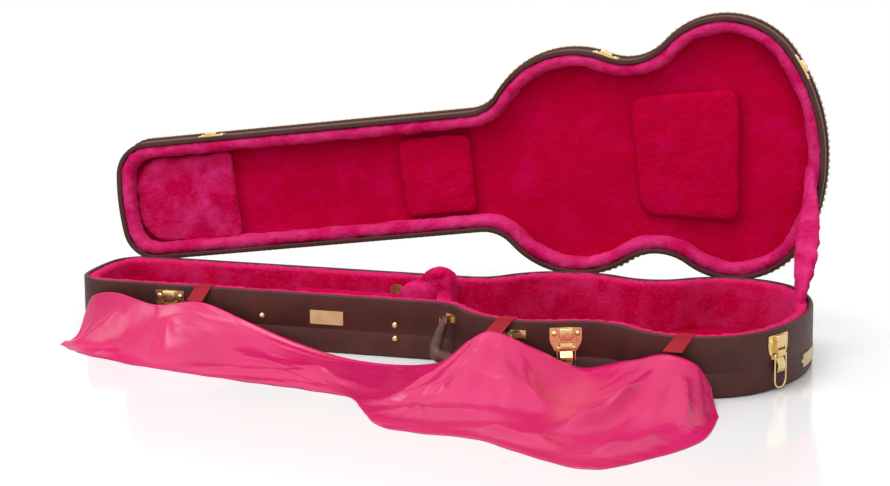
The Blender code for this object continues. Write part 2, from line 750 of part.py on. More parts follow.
def grip_body(half_span):
    """The grip as a U of rounded sections, thin at its two ends and full along its middle."""
    end_height = 0.0045
    corner = GRIP_CORNER
    path = [(half_span, end_height, 0.0), (half_span, -0.006, 0.0), (half_span, -0.014, 0.35)]
    for step in range(5):
        angle = -step * pi / 8
        x = half_span - corner + corner * cos(angle)
        path.append((x, -(GRIP_DROP - corner) + corner * sin(angle), 0.5 + step / 8))
    path += [(half_span * 0.35, -GRIP_DROP, 1.0)]
    left = [(-x, z, full) for x, z, full in path]
    path = left + list(reversed(path))
    sections = []
    for k, (x, z, full) in enumerate(path):
        before, after = path[max(k - 1, 0)], path[min(k + 1, len(path) - 1)]
        along = Vector((after[0] - before[0], after[1] - before[1])).normalized()
        across = Vector((-along.y, along.x))
        width = GRIP_END_WIDTH + (GRIP_WIDTH - GRIP_END_WIDTH) * full
        thick = GRIP_END_THICKNESS + (GRIP_THICKNESS - GRIP_END_THICKNESS) * full
        a, b = width / 2, thick / 2
        corners = rounded([(-a, -b), (a, -b), (a, b), (-a, b)], thick * 0.3, 2)
        sections.append([(x + across.x * c.x, c.y, z + across.y * c.x) for c in corners])
    return loft(sections)


def hinges(lid_axis):
    """Three butt hinges on the hinge line: at the head corner, the upper bout and the lower bout."""
    places = (("head", HEAD_CORNER), ("waist", UPPER_BOUT), ("tail", LOWER_BOUT))
    pin = Matrix.Translation((0, HINGE_Y, HINGE_Z))
    wall_y = -HINGE_BEHIND_WALL + GAP
    half = HINGE_HALF_WIDTH
    bore = HINGE_PIN_RADIUS + RUNNING_CLEARANCE
    for name, bout in places:
        x = (TURN @ bout.centre - MIDDLE).x
        base_leaf_top = (half, wall_y + SHEET_METAL, -KNUCKLE_RADIUS)
        base_leaf = block((-half, wall_y, -HINGE_LEAF_HEIGHT), base_leaf_top)
        lid_leaf_top = (half, wall_y + SHEET_METAL, HINGE_LID_LEAF_HEIGHT)
        lid_leaf = block((-half, wall_y, KNUCKLE_RADIUS), lid_leaf_top)
        at_x = Matrix.Translation((x, 0, 0))
        base = put(f"hinge_base_leaf_{name}", moved(base_leaf, pin @ at_x), "brass")
        lid = put(f"hinge_lid_leaf_{name}", moved(lid_leaf, at_x), "brass", lid_axis)
        middle = MIDDLE_KNUCKLE / 2
        spans = [(base, pin, side, middle + KNUCKLE_GAP, half, -1) for side in (-1, 1)]
        spans.append((lid, Matrix(), 1, -middle, middle, 1))
        for leaf, place, side, near, far, up in spans:
            x0, x1 = sorted((side * near, side * far))
            knuckle = bar(knuckle_profile(wall_y, up), x0, x1)
            shape_with(leaf, moved(knuckle, place @ at_x), "UNION")
        for leaf, place in ((base, pin), (lid, Matrix())):
            hole = rod(bore, -half - 0.01, half + 0.01)
            shape_with(leaf, moved(hole, place @ at_x), "DIFFERENCE")
        pin_body = rod(HINGE_PIN_RADIUS, -half - 0.0008, half + 0.0008)
        put(f"hinge_pin_{name}", moved(pin_body, pin @ at_x), "brass")


def knuckle_profile(wall_y, up):
    """The side of a hinge leaf's rolled edge: round the pin, with a neck down to the leaf."""
    tip = KNUCKLE_RADIUS + 0.0015
    points = [(wall_y, up * tip), (wall_y, up * 0.0008)]
    for step in range(9):
        angle = pi - step * pi / 6
        points.append((KNUCKLE_RADIUS * cos(angle), -up * KNUCKLE_RADIUS * sin(angle)))
    points += [(wall_y + SHEET_METAL, up * (KNUCKLE_RADIUS + 0.0002)), (wall_y + SHEET_METAL, up * tip)]
    return points


def plates_and_studs():
    middle = RIM - NAMEPLATE_BELOW_RIM
    width, tall = NAMEPLATE_SIZE
    stations = even_stations(width / 2, middle - tall / 2, middle + tall / 2, 2)
    put("nameplate", wall_strip(front_at(NAMEPLATE_FROM_HEAD), stations, GAP, SHEET_METAL), "brass")
    half, tall, tab = END_PLATE_SIZE[0] / 2, END_PLATE_SIZE[1] / 2, END_PLATE_TAB
    low, high = END_PLATE_HEIGHT - tall, END_PLATE_HEIGHT + tall
    narrow_low, narrow_high = END_PLATE_HEIGHT - tab / 2, END_PLATE_HEIGHT + tab / 2
    ends = [(half + tab, narrow_low, narrow_high), (half + 0.0003, narrow_low, narrow_high)]
    stations = [(-x, a, b) for x, a, b in ends] + even_stations(half, low, high, 7) + list(reversed(ends))
    tail = sum(stretch.length for stretch in FRONT)
    put("end_plate", wall_strip(tail, stations, GAP, SHEET_METAL), "brass")
    for name, u, height in STUDS:
        dome = ((0, 1.0), (0.25, 1.0), (0.75, 0.72), (1.0, 0.28))
        turns = [pi * k / 6 for k in range(12)]
        sections = []
        for rise, size in dome:
            y, r = -GAP - STUD_STAND * rise, STUD_RADIUS * size
            sections.append([(r * cos(turn), y, r * sin(turn)) for turn in turns])
        put(name, moved(loft(sections), wall_frame(front_at(u), height)), "brass")


def lid_stay():
    """A plush strap at the tail, from the base's side lining to the lid's, twisted in the middle."""
    inset = WALL + GAP + SIDE_PADDING + STAY_THICKNESS / 2 + STAY_CLEARANCE
    tail = sum(stretch.length for stretch in FRONT)
    foot, right, out = walk(tail + STAY_BEYOND_TAIL, inset)
    foot = Vector((*foot, RIM - STAY_SEWN))
    lid_end = walk(tail + STAY_BEYOND_TAIL - 0.006, inset)[0]
    closed = Vector((0, lid_end.y - HINGE_Y, LID_RIM + STAY_SEWN - HINGE_Z))
    opened = Matrix.Rotation(-LID_OPEN, 3, "X")
    turned = opened @ closed
    facing = Vector((*out, 0))
    top = Vector((lid_end.x, HINGE_Y + turned.y, HINGE_Z + turned.z))
    knee = foot.lerp(top, 0.5) + Vector(STAY_BOW) * 2
    sections = []
    steps = 10
    for step in range(steps + 1):
        t = step / steps
        point = foot * (1 - t) ** 2 + knee * 2 * t * (1 - t) + top * t**2
        along = ((knee - foot) * (1 - t) + (top - knee) * t).normalized()
        flat = facing.lerp(opened @ facing, t).cross(along).normalized()
        share = sin(pi * t) ** 2
        flat.rotate(Matrix.Rotation(STAY_TWIST * share, 3, along))
        thick = along.cross(flat)
        half = (STAY_END_WIDTH + (STAY_WIDTH - STAY_END_WIDTH) * share) / 2
        corners = [(-half, -STAY_THICKNESS / 2), (half, -STAY_THICKNESS / 2)]
        corners += [(-a, -b) for a, b in corners]
        sections.append([tuple(point + flat * a + thick * b) for a, b in corners])
    put("lid_stay", loft(sections), "plush")


# The cover, station by station: place along X, height of its upper edge, how far that edge stands off the
# wall, and how far the cloth reaches out from the wall over the floor. Places are measured from the head end
# along the neck, and from the tail end along the body.
COVER_ALONG_NECK = (
    (-0.011, 0.012, 0.004, 0.076),
    (0.019, 0.049, 0.004, 0.088),
    (0.069, 0.068, 0.004, 0.111),
    (0.124, 0.060, 0.004, 0.139),
    (0.204, 0.066, 0.004, 0.162),
    (0.272, 0.041, 0.006, 0.178),
    (0.344, 0.017, 0.008, 0.194),
    (0.416, 0.006, 0.008, 0.215),
)
COVER_ALONG_BODY = (
    (0.586, 0.006, 0.012, 0.245),
    (0.526, 0.010, 0.040, 0.336),
    (0.491, 0.030, 0.056, 0.329),
    (0.456, 0.060, 0.052, 0.301),
    (0.416, 0.072, 0.026, 0.300),
    (0.361, 0.051, 0.006, 0.331),
    (0.296, 0.024, 0.006, 0.385),
    (0.231, 0.046, 0.006, 0.379),
    (0.176, 0.065, 0.004, 0.314),
    (0.136, 0.050, 0.006, 0.248),
    (0.109, 0.020, 0.010, 0.144),
)


def front_wall_y(x):
    """World Y of the front wall at X, the lowest of the plan's crossings there."""
    points = outline(0)
    found = []
    for a, b in zip(points, points[1:] + points[:1]):
        if (a.x - x) * (b.x - x) <= 0 and a.x != b.x:
            found.append(a.y + (b.y - a.y) * (x - a.x) / (b.x - a.x))
    return min(found) if found else plan_point(0, 0).y


def cover():
    """The satin cover hangs from the ribbons, drops to the floor and spreads out in front of the case."""
    t = COVER_THICKNESS
    sections = []
    head_x = plan_point(0, 0).x
    tail_x = max(point.x for point in outline(0))
    rows = [(head_x + row[0], *row[1:]) for row in COVER_ALONG_NECK]
    rows += [(tail_x - row[0], *row[1:]) for row in COVER_ALONG_BODY]
    for x, high, stand, reach in rows:
        face = front_wall_y(max(x, head_x + 0.012))
        wall, end = face - COVER_STAND - stand, face - reach
        bend = min(high * 0.6, (wall - end) * 0.3, 0.03)
        drop = wall - t * 2
        skin = [
            (wall, high),
            (drop - bend * 0.15, bend),
            (drop - bend * 0.6, t + bend * 0.25),
            (drop - bend - 0.004, t * 1.2),
            (end, t * 1.1),
        ]
        under = [(end, 0.0005), (drop - bend - 0.002, 0.0005), (wall, 0.0005)]
        back = [(wall + t, 0.002), (wall + t, high)]
        sections.append([(x, y, z) for y, z in skin + under + back])
    put("shroud", loft(sections), "satin")
    for name, u, slant in RIBBONS:
        ribbon(name, u, slant)


def ribbon(name, u, slant):
    """A ribbon from inside the rim, over it and down outside to the cover's edge."""
    distance = front_at(u)
    point, right, out = walk(distance)
    top = RIM + GAP
    hang = Vector((*(point + out * (COVER_STAND - 0.004)), RIM - 0.016))
    side, lift = Vector((*right, 0)), Vector((0, 0, RIBBON))
    outward = Vector((*(out * RIBBON), RIBBON * 0.5))
    path = (
        (Vector((*(point - out * (WALL + 0.012)), top)), 0.0, lift),
        (Vector((*(point - out * WALL), top)), 0.0, lift),
        (Vector((*(point + out * 0.0006), top)), 0.0, outward),
        (hang, slant, outward),
    )
    sections = []
    for centre, shift, thick in path:
        left = centre - side * (RIBBON_WIDTH / 2 + shift)
        far = left + side * RIBBON_WIDTH
        sections.append([left, left + thick, far + thick, far])
    put(name, loft(sections), "ribbon")


def main():
    for obj in list(bpy.data.objects):
        bpy.data.objects.remove(obj)
    lid_axis = lid_hinge_axis()
    base_shell()
    base_lining()
    neck_cradle()
    compartment()
    lid_shell(lid_axis)
    lid_lining(lid_axis)
    for name, u in LATCHES:
        latch(name, front_at(u))
        catch(name, front_at(u), lid_axis)
    handle()
    hinges(lid_axis)
    plates_and_studs()
    lid_stay()
    cover()
    print(f"centre line leans {degrees(LEAN):.2f} degrees, hinge line at y {HINGE_Y:.4f}")


main()
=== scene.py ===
# %% [markdown]
# # An open guitar case, built in Blender
# The case lies open on its flat bottom. A shell bent to the shape of a guitar carries a plush lining,
# brass latches and a leather handle, and a satin cover hangs over its front rim. The solid model of the
# case is loaded first as a fixed frame, and every piece here is built in its place, in metres. The X axis
# runs along the hinges, the hinges are at +Y, and the origin is the middle of the bottom.

# %% Load the frame
import json
from math import asin, atan2, ceil, cos, exp, pi, radians, sin, sqrt

import bmesh
import bpy
from bmesh.types import BMEdge, BMFace, BMVert
from mathutils import Matrix, Vector, noise


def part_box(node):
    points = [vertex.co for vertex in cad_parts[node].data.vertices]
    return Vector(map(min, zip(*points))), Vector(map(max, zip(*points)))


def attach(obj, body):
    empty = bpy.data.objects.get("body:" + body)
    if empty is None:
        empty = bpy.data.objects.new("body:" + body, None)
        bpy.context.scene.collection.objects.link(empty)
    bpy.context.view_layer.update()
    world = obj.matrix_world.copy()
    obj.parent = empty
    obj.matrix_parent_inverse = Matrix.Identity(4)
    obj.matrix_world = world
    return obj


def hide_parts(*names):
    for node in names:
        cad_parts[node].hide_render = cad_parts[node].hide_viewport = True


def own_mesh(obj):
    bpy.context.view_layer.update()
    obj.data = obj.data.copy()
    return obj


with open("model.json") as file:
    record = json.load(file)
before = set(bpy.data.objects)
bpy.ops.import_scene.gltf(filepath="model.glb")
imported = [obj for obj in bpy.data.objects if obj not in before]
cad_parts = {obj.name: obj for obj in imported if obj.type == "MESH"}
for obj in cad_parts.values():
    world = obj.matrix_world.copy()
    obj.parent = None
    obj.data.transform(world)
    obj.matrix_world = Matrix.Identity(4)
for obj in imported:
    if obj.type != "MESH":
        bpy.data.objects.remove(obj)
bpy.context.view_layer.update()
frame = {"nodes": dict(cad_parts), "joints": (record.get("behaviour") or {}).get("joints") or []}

# %% [markdown]
# ## The sizes of the case
# A case maker starts from the plan of the guitar: a straight neck, two round bouts and a waist between
# them. Each round stretch is an arc that runs into the next one without a kink. The values below are the
# real sizes that the frame was made from, so the pieces here meet it.

# %% Sizes of the shells
CASE_LENGTH = 1.075
HEAD_END_RADIUS = 0.36
HEAD_CORNER_RADIUS = 0.051
NECK_HALF_WIDTH = 0.09
SHOULDER_RADIUS = 0.054
UPPER_BOUT_FROM_TAIL = 0.3655
UPPER_BOUT_RADIUS = 0.1365
WAIST_RADIUS = 0.077
LOWER_BOUT_FROM_TAIL = 0.138
LOWER_BOUT_OFFSET = 0.075
LOWER_BOUT_RADIUS = 0.1185

RIM = 0.0845
LID_RIM = 0.086
LID_TOP = 0.131
WALL = 0.007
LINING = 0.0073
PADDING = 0.016
FLOOR = 0.0133
CROWN = 0.007
lid_hinge = next(joint for joint in frame["joints"] if joint["name"] == "lid_hinge")
HINGE_Y, HINGE_Z = lid_hinge["pos_m"][1:]
OPENED = radians(93)

# %% [markdown]
# ## The plan as a chain of arcs
# Where two arcs touch, their centres and the touching point lie on one line, so every centre follows from
# the radii. The hinge line touches the head corner and both bouts on the far side, and that gives the
# angle by which the centre line of the guitar leans away from it.

# %% Arcs of the plan
def angle_to(centre, point):
    return atan2(point.y - centre.y, point.x - centre.x)


def on_arc(centre, radius, angle):
    return centre + Vector((cos(angle), sin(angle))) * radius


def front_arcs():
    """Arcs of the front side from the head end to the tail end, as centre, radius, start and sweep."""
    lower = Vector((CASE_LENGTH - LOWER_BOUT_FROM_TAIL, -LOWER_BOUT_OFFSET))
    head = Vector((HEAD_END_RADIUS, 0))
    corner_v = HEAD_CORNER_RADIUS - NECK_HALF_WIDTH
    reach = HEAD_END_RADIUS - HEAD_CORNER_RADIUS
    corner = Vector((head.x - sqrt(reach**2 - corner_v**2), corner_v))
    apart = lower - corner
    lean = asin((LOWER_BOUT_RADIUS - HEAD_CORNER_RADIUS) / apart.length) - atan2(apart.y, apart.x)
    upper_u = CASE_LENGTH - UPPER_BOUT_FROM_TAIL
    across = LOWER_BOUT_RADIUS - UPPER_BOUT_RADIUS + sin(lean) * (upper_u - lower.x)
    upper = Vector((upper_u, lower.y - across / cos(lean)))
    shoulder_v = -NECK_HALF_WIDTH - SHOULDER_RADIUS
    reach = UPPER_BOUT_RADIUS + SHOULDER_RADIUS
    shoulder = Vector((upper.x - sqrt(reach**2 - (shoulder_v - upper.y) ** 2), shoulder_v))
    apart = lower - upper
    near, far = UPPER_BOUT_RADIUS + WAIST_RADIUS, LOWER_BOUT_RADIUS + WAIST_RADIUS
    along = (near**2 - far**2 + apart.length**2) / (2 * apart.length)
    sideways = Vector((apart.y, -apart.x)).normalized()
    waist = upper + apart.normalized() * along + sideways * sqrt(near**2 - along**2)
    behind = LOWER_BOUT_RADIUS - LOWER_BOUT_FROM_TAIL
    tail_radius = (LOWER_BOUT_RADIUS**2 - LOWER_BOUT_FROM_TAIL**2 - LOWER_BOUT_OFFSET**2) / (2 * behind)
    tail = Vector((CASE_LENGTH - tail_radius, 0))
    turns = [
        (head, HEAD_END_RADIUS, pi, angle_to(head, corner) % (2 * pi)),
        (corner, HEAD_CORNER_RADIUS, angle_to(head, corner) % (2 * pi), 1.5 * pi),
        (shoulder, SHOULDER_RADIUS, pi / 2, angle_to(shoulder, upper)),
        (upper, UPPER_BOUT_RADIUS, angle_to(upper, shoulder), angle_to(upper, waist)),
        (waist, WAIST_RADIUS, angle_to(waist, upper), angle_to(waist, lower)),
        (lower, LOWER_BOUT_RADIUS, angle_to(lower, waist), angle_to(tail, lower)),
        (tail, tail_radius, angle_to(tail, lower), 0),
    ]
    return [(centre, radius, start, end - start) for centre, radius, start, end in turns], lean


FRONT, LEAN = front_arcs()
ARCS = FRONT + [(c * Vector((1, -1)), r, -a - s, s) for c, r, a, s in reversed(FRONT)]
TURN = Matrix.Rotation(-LEAN, 2)
# The origin is the middle of the plan's bounding rectangle, with the hinge line along X.
EDGE = [TURN @ on_arc(c, r, a + s * k / 60) for c, r, a, s in ARCS for k in range(61)]
MIDDLE = Vector([(min(p[k] for p in EDGE) + max(p[k] for p in EDGE)) / 2 for k in (0, 1)])
print(f"{len(ARCS)} arcs, centre line leans {LEAN:.4f} rad")

# %% [markdown]
# The straight sides of the neck fill the gaps between arcs that don't touch. Every fitting on the wall then
# gets its place from how far round the wall it is, how high, and how far it stands out.


# %% Walking round the wall
def plan_point(u, v):
    """A place on the guitar's centre line, u from the head end and v across, in world X and Y."""
    return TURN @ Vector((u, v)) - MIDDLE


def stretches():
    """The arcs with the straight neck sides between them, as length and arc or line."""
    found = []
    for arc, ahead in zip(ARCS, ARCS[1:] + ARCS[:1]):
        centre, radius, start, sweep = arc
        found.append((radius * abs(sweep), arc))
        end, begin = on_arc(centre, radius, start + sweep), on_arc(*ahead[:3])
        if (begin - end).length > 1e-4:
            found.append(((begin - end).length, (end, begin)))
    return found


STRETCHES = stretches()
AROUND = sum(length for length, _ in STRETCHES)


def walk(distance, inset=0.0):
    """Point on the wall and its outward direction, this far round from the middle of the head end."""
    left = distance % AROUND
    for length, shape in STRETCHES:
        if left <= length:
            break
        left -= length
    if len(shape) == 2:
        along = (shape[1] - shape[0]).normalized()
        out = Vector((along.y, -along.x))
        point = shape[0] + along * left - out * inset
    else:
        centre, radius, start, sweep = shape
        side = 1 if sweep > 0 else -1
        out = on_arc(Vector((0, 0)), side, start + sweep * left / length)
        point = centre + out * side * (radius - side * inset)
    return TURN @ point - MIDDLE, TURN @ out


def halving(is_before):
    """Distance round the front side up to which a test on the wall's points holds."""
    low, high = 0.0, AROUND / 2
    for _ in range(40):
        middle = (low + high) / 2
        low, high = (middle, high) if is_before(walk(middle)[0]) else (low, middle)
    return low


def front_at(u):
    """Distance round the wall to the place at u on the front side."""
    return halving(lambda place: (TURN.transposed() @ (place + MIDDLE)).x < u)


def wall_frame(distance, height, out=0.0):
    """Axes on the wall: X to the right as seen from outside, Y into the wall, Z up."""
    (x, y), (east, north) = walk(distance, -out)
    return Matrix(((-north, -east, 0, x), (east, -north, 0, y), (0, 0, 1, height), (0, 0, 0, 1)))


print(f"the wall is {AROUND:.3f} m round")

# %% [markdown]
# ## Building with loops
# A case wall is one cross-section carried round the plan. In Blender a single point is extruded from
# station to station, which leaves a closed loop of edges. The loop is then extruded from one pair of inset
# and height to the next, and each point moves along its own outward direction, so round stretches stay
# round.


# %% Loops and rings
def of_kind(items, kind):
    return [item for item in items if isinstance(item, kind)]


def plan_loop(bm, outward, spacing):
    """Draws the plan as a loop of edges, and notes the outward direction of each point."""
    before, stations = 0.0, []
    for length, _ in STRETCHES:
        steps = max(2, ceil(length / spacing))
        stations += [before + length * step / steps for step in range(steps)]
        before += length
    verts = bmesh.ops.create_vert(bm)["vert"]
    for _ in stations[1:]:
        verts += bmesh.ops.extrude_vert_indiv(bm, verts=verts[-1:])["verts"]
    bmesh.ops.contextual_create(bm, geom=[verts[-1], verts[0]])
    for vert, station in zip(verts, stations):
        point, out = walk(station)
        vert.co = (*point, 0)
        vert[outward] = (*out, 0)
    return bm.edges[:]


def ring(profile, spacing, closed=True, caps=False):
    """Carries a section round the plan. The section is a chain of pairs of inset and height."""
    bm = bmesh.new()
    outward = bm.verts.layers.float_vector.new("outward")
    loop = plan_loop(bm, outward, spacing)
    foot, verts, before = loop, bm.verts[:], 0.0
    for k, (inset, height) in enumerate(profile + profile[:1] if closed else profile):
        if k:
            grown = bmesh.ops.extrude_edge_only(bm, edges=loop)["geom"]
            verts = of_kind(grown, BMVert)
            new = set(verts)
            loop = [edge for edge in of_kind(grown, BMEdge) if new.issuperset(edge.verts)]
        for vert in verts:
            vert.co += vert[outward] * (before - inset)
            vert.co.z = height
        before = inset
    if closed:
        bmesh.ops.remove_doubles(bm, verts=bm.verts, dist=1e-6)
    if caps:
        for edges in (foot, loop):
            bmesh.ops.contextual_create(bm, geom=edges)
    bm.verts.layers.float_vector.remove(outward)
    bmesh.ops.recalc_face_normals(bm, faces=bm.faces)
    return bm


# %% [markdown]
# Blocks and boards start as a cube, straps as a row of circles. Soft pieces also need small lumps, so their
# shape is rebuilt from even squares, and its points are pushed along their normals by smooth noise.
# Stretched noise gives wrinkles, because it changes fast one way and slowly the other.


# %% Helpers for blocks, tubes and soft pieces
def grid(columns, rows, size=1):
    bm = bmesh.new()
    bmesh.ops.create_grid(bm, x_segments=columns, y_segments=rows, size=size)
    return bm


def block(bm, size, middle=(0, 0, 0)):
    """Adds a box of this size and gives its points."""
    verts = bmesh.ops.create_cube(bm, size=1)["verts"]
    bmesh.ops.scale(bm, vec=size, verts=verts)
    bmesh.ops.translate(bm, vec=middle, verts=verts)
    return verts


def edges_of(verts):
    return list(dict.fromkeys(edge for vert in verts for edge in vert.link_edges))


def soften(bm, geom, offset, segments, affect="EDGES"):
    """Rounds edges, or with VERTICES the corners of a flat sheet."""
    bmesh.ops.bevel(bm, geom=geom, offset=offset, segments=segments, profile=0.5, affect=affect, material=-1)


def tube(places, segments):
    """A closed tube through a circle at each place. A place is a matrix that also gives the size."""
    bm = bmesh.new()
    loops = []
    for place in places:
        circle = bmesh.ops.create_circle(bm, segments=segments, radius=1, matrix=place)["verts"]
        loops.append(edges_of(circle))
    for first, second in zip(loops, loops[1:]):
        bmesh.ops.bridge_loops(bm, edges=first + second)
    for loop in (loops[0], loops[-1]):
        bmesh.ops.contextual_create(bm, geom=loop)
    bmesh.ops.recalc_face_normals(bm, faces=bm.faces)
    return bm


def ruffle(bm, amount, size, stretch=(1, 1, 1), seed=0.0, keep=None):
    """Moves points along their normals by noise of about this size."""
    bm.normal_update()
    for vert in bm.verts:
        if keep and not keep(vert.co):
            continue
        place = Vector([vert.co[k] / (size * stretch[k]) for k in range(3)]) + Vector((seed, seed * 2, 0))
        vert.co += vert.normal * amount * noise.noise(place)


def linked(name, bm):
    """Puts the mesh in the scene as a new object."""
    mesh = bpy.data.meshes.new(name)
    bm.to_mesh(mesh)
    bm.free()
    piece = bpy.data.objects.new(name, mesh)
    bpy.context.scene.collection.objects.link(piece)
    return piece


def shaped(piece):
    """The mesh as the object's modifiers leave it."""
    bm = bmesh.new()
    bm.from_mesh(piece.evaluated_get(bpy.context.evaluated_depsgraph_get()).to_mesh())
    return bm


def voxels(bm, size, smooth_steps):
    """Rebuilds a closed shape from even squares, so that it can be ruffled."""
    lump = linked("lump", bm)
    remesh = lump.modifiers.new("remesh", "REMESH")
    remesh.mode = "VOXEL"
    remesh.voxel_size = size
    bm = shaped(lump)
    bpy.data.objects.remove(lump)
    axes = {"use_axis_x": True, "use_axis_y": True, "use_axis_z": True}
    for _ in range(smooth_steps):
        bmesh.ops.smooth_vert(bm, verts=bm.verts, factor=0.5, **axes)
    return bm


# %% [markdown]
# A finished piece rides on one body of the frame, so that it moves with it, and it hides the plain solids
# that it stands for. Pieces of the lid are modelled with the lid closed, where heights are easy to read, and
# are then turned open about the hinge line.


# %% Finished pieces
def make(name, bm, material, replaces=(), smooth=40.0, body="base"):
    piece = linked(name, bm)
    piece.data.shade_smooth()
    piece.data.set_sharp_from_angle(angle=radians(smooth))
    piece.data.materials.append(material)
    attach(piece, body)
    if replaces:
        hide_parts(*replaces)
    return piece


HINGE_LINE = Matrix.Translation((0, HINGE_Y, HINGE_Z))
OPEN = HINGE_LINE @ Matrix.Rotation(-OPENED, 4, "X") @ HINGE_LINE.inverted()


def on_lid(name, bm, material, replaces=(), smooth=40.0):
    bmesh.ops.transform(bm, matrix=OPEN, verts=bm.verts)
    return make(name, bm, material, replaces, smooth, "lid")


# %% [markdown]
# ## Finishes
# The shell is covered in dark brown grained vinyl, the lining is a pink pile, the cover is satin and the
# hardware is polished brass plate. Each finish is a node material that reads Object coordinates, so a
# pattern stays in real metres: grain of a millimetre, pile of a few millimetres.


# %% Helpers for node materials
def feed(node, inputs):
    """Sets a node's inputs, and links those that are sockets. A node and a socket know their tree."""
    for key, value in inputs.items():
        if isinstance(value, bpy.types.NodeSocket):
            node.id_data.links.new(value, node.inputs[key])
        else:
            node.inputs[key].default_value = value


def add(tree, kind, inputs=None, **settings):
    """Adds a node with its settings and inputs."""
    node = tree.nodes.new("ShaderNode" + kind)
    for key, value in settings.items():
        setattr(node, key, value)
    feed(node, inputs or {})
    return node


def wire(material, **inputs):
    """Sets or links the shader's inputs. Their names have underscores for spaces."""
    shader = material.node_tree.nodes["Principled BSDF"]
    feed(shader, {key.replace("_", " "): value for key, value in inputs.items()})


def finish(name, colour, roughness, metallic=0.0, **inputs):
    material = bpy.data.materials.new(name)
    material.use_nodes = True
    wire(material, Base_Color=(*colour, 1), Roughness=roughness, Metallic=metallic, **inputs)
    return material


def coordinates(material, scale=(1, 1, 1), turn=(0, 0, 0)):
    place = add(material.node_tree, "TexCoord").outputs["Object"]
    values = {"Vector": place, "Scale": scale, "Rotation": turn}
    return add(place.id_data, "Mapping", values).outputs["Vector"]


def pattern(where, scale, detail=3.0, roughness=0.5, distortion=0.0):
    """Noise with about this many waves to the metre."""
    values = {"Vector": where, "Scale": scale, "Detail": detail, "Roughness": roughness}
    return add(where.id_data, "TexNoise", {**values, "Distortion": distortion}).outputs["Fac"]


def mixed(share, first, second):
    """A colour between two, by a share from 0 to 1."""
    values = {"Factor": share, 6: first, 7: second}
    for index in (6, 7):
        if not isinstance(values[index], bpy.types.NodeSocket):
            values[index] = (*values[index], 1)
    return add(share.id_data, "Mix", values, data_type="RGBA").outputs[2]


def ranged(value, low, high, to_low=0.0, to_high=1.0):
    values = {"Value": value, 1: low, 2: high, 3: to_low, 4: to_high}
    return add(value.id_data, "MapRange", values).outputs["Result"]


def bump(height, distance, strength=1.0, under=None):
    inputs = {"Height": height, "Distance": distance, "Strength": strength}
    if under:
        inputs["Normal"] = under
    return add(height.id_data, "Bump", inputs).outputs["Normal"]


# %% [markdown]
# The vinyl has a grain like leather: cells a millimetre wide, a broad change of colour, and faint waves
# where it is glued down. It is only half matt, so a second noise varies its roughness.


# %% Grained vinyl
def make_vinyl(name, dark, light):
    vinyl = finish(name, dark, 0.5, Specular_IOR_Level=0.22)
    where = coordinates(vinyl)
    grain = {"Vector": where, "Scale": 900.0, "Randomness": 1.0}
    cells = add(where.id_data, "TexVoronoi", grain, feature="SMOOTH_F1").outputs["Distance"]
    broad = pattern(where, 22.0, 4.0, 0.6)
    fine = pattern(where, 420.0, 2.0)
    colour = mixed(ranged(broad, 0.3, 0.7), dark, light)
    relief = bump(broad, 0.0015, 0.3, bump(cells, 0.0004, 0.6))
    wire(vinyl, Base_Color=colour, Roughness=ranged(fine, 0.3, 0.7, 0.42, 0.6), Normal=relief)
    return vinyl


vinyl = make_vinyl("grained_vinyl", (0.050, 0.013, 0.010), (0.074, 0.022, 0.017))
welt_vinyl = make_vinyl("welt_vinyl", (0.046, 0.014, 0.010), (0.068, 0.024, 0.018))
print("vinyl has", len(vinyl.node_tree.nodes), "nodes")

# %% [markdown]
# Plush is deep where one looks between its fibres, and pale where one sees their tips: at a glance, and
# where a hand has stroked it. Sheen gives the glance, and noise of three sizes the strokes, tufts and hairs.
# In the base a painted sheen also makes the colour paler along the rim and on faces turned towards -X, so
# height and normal add to it.


# %% Plush pile
def larger(first, second):
    return add(first.id_data, "Math", {0: first, 1: second}, operation="MAXIMUM").outputs[0]


def make_plush(name, deep, pale, sheen, low=0.42, high=0.66, rim=None):
    plush = finish(name, deep, 0.9, Specular_IOR_Level=0.02)
    wire(plush, Sheen_Weight=sheen, Sheen_Roughness=0.4, Sheen_Tint=(1.0, 0.03, 0.34, 1))
    where = coordinates(plush)
    strokes = pattern(where, 22.0, 4.0, 0.62, 0.3)
    tufts = pattern(where, 210.0, 3.0, 0.6, 0.4)
    hairs = pattern(where, 900.0, 2.0)
    share = ranged(strokes, low, high, 0, 0.6 if rim else 1)
    # Painted sheen: the colour turns pale along the top of the rim and on faces whose normal points towards
    # -X.
    if rim:
        tree = plush.node_tree
        height = add(tree, "SeparateXYZ", {0: where}).outputs["Z"]
        facing = add(tree, "TexCoord").outputs["Normal"]
        turned = add(tree, "SeparateXYZ", {0: facing}).outputs["X"]
        uneven = add(tree, "Math", {0: tufts, 1: 0.012, 2: height}, operation="MULTIPLY_ADD").outputs[0]
        painted_rim_sheen = ranged(uneven, rim - 0.001, rim + 0.007, 0, 0.9)
        share = larger(larger(ranged(turned, -0.3, -0.95, 0, 0.8), share), painted_rim_sheen)
    patchy = mixed(share, deep, pale)
    wire(plush, Base_Color=mixed(ranged(tufts, 0.5, 0.8, 0.0, 0.5), patchy, pale))
    wire(plush, Normal=bump(hairs, 0.001, 0.5, bump(tufts, 0.0035, 0.6)))
    return plush


plush = make_plush("pink_plush", (0.46, 0.0003, 0.042), (0.60, 0.024, 0.15), 0.14, 0.46, 0.74, RIM)
head_plush = make_plush("pad_plush", (0.46, 0.0004, 0.050), (0.60, 0.024, 0.16), 0.20)
# edge_plush has a painted sheen: its colour is paler than the panel's plush, for pile seen from its tips, on
# the lid's side lining and the stay.
edge_plush = make_plush("edge_plush", (0.48, 0.004, 0.078), (0.62, 0.034, 0.18), 0.28, 0.38, 0.64)
deep_plush = make_plush("panel_plush", (0.44, 0.0001, 0.028), (0.52, 0.001, 0.070), 0.03, 0.48, 0.78)
print("plush has", len(plush.node_tree.nodes), "nodes")

# %% [markdown]
# Satin is woven with long threads on top, which makes it smooth and soft in its gloss: a low roughness with
# broad, shallow bumps. Grosgrain ribbon has ribs and sewing thread is twisted, so both get fine stripes from
# a wave texture.


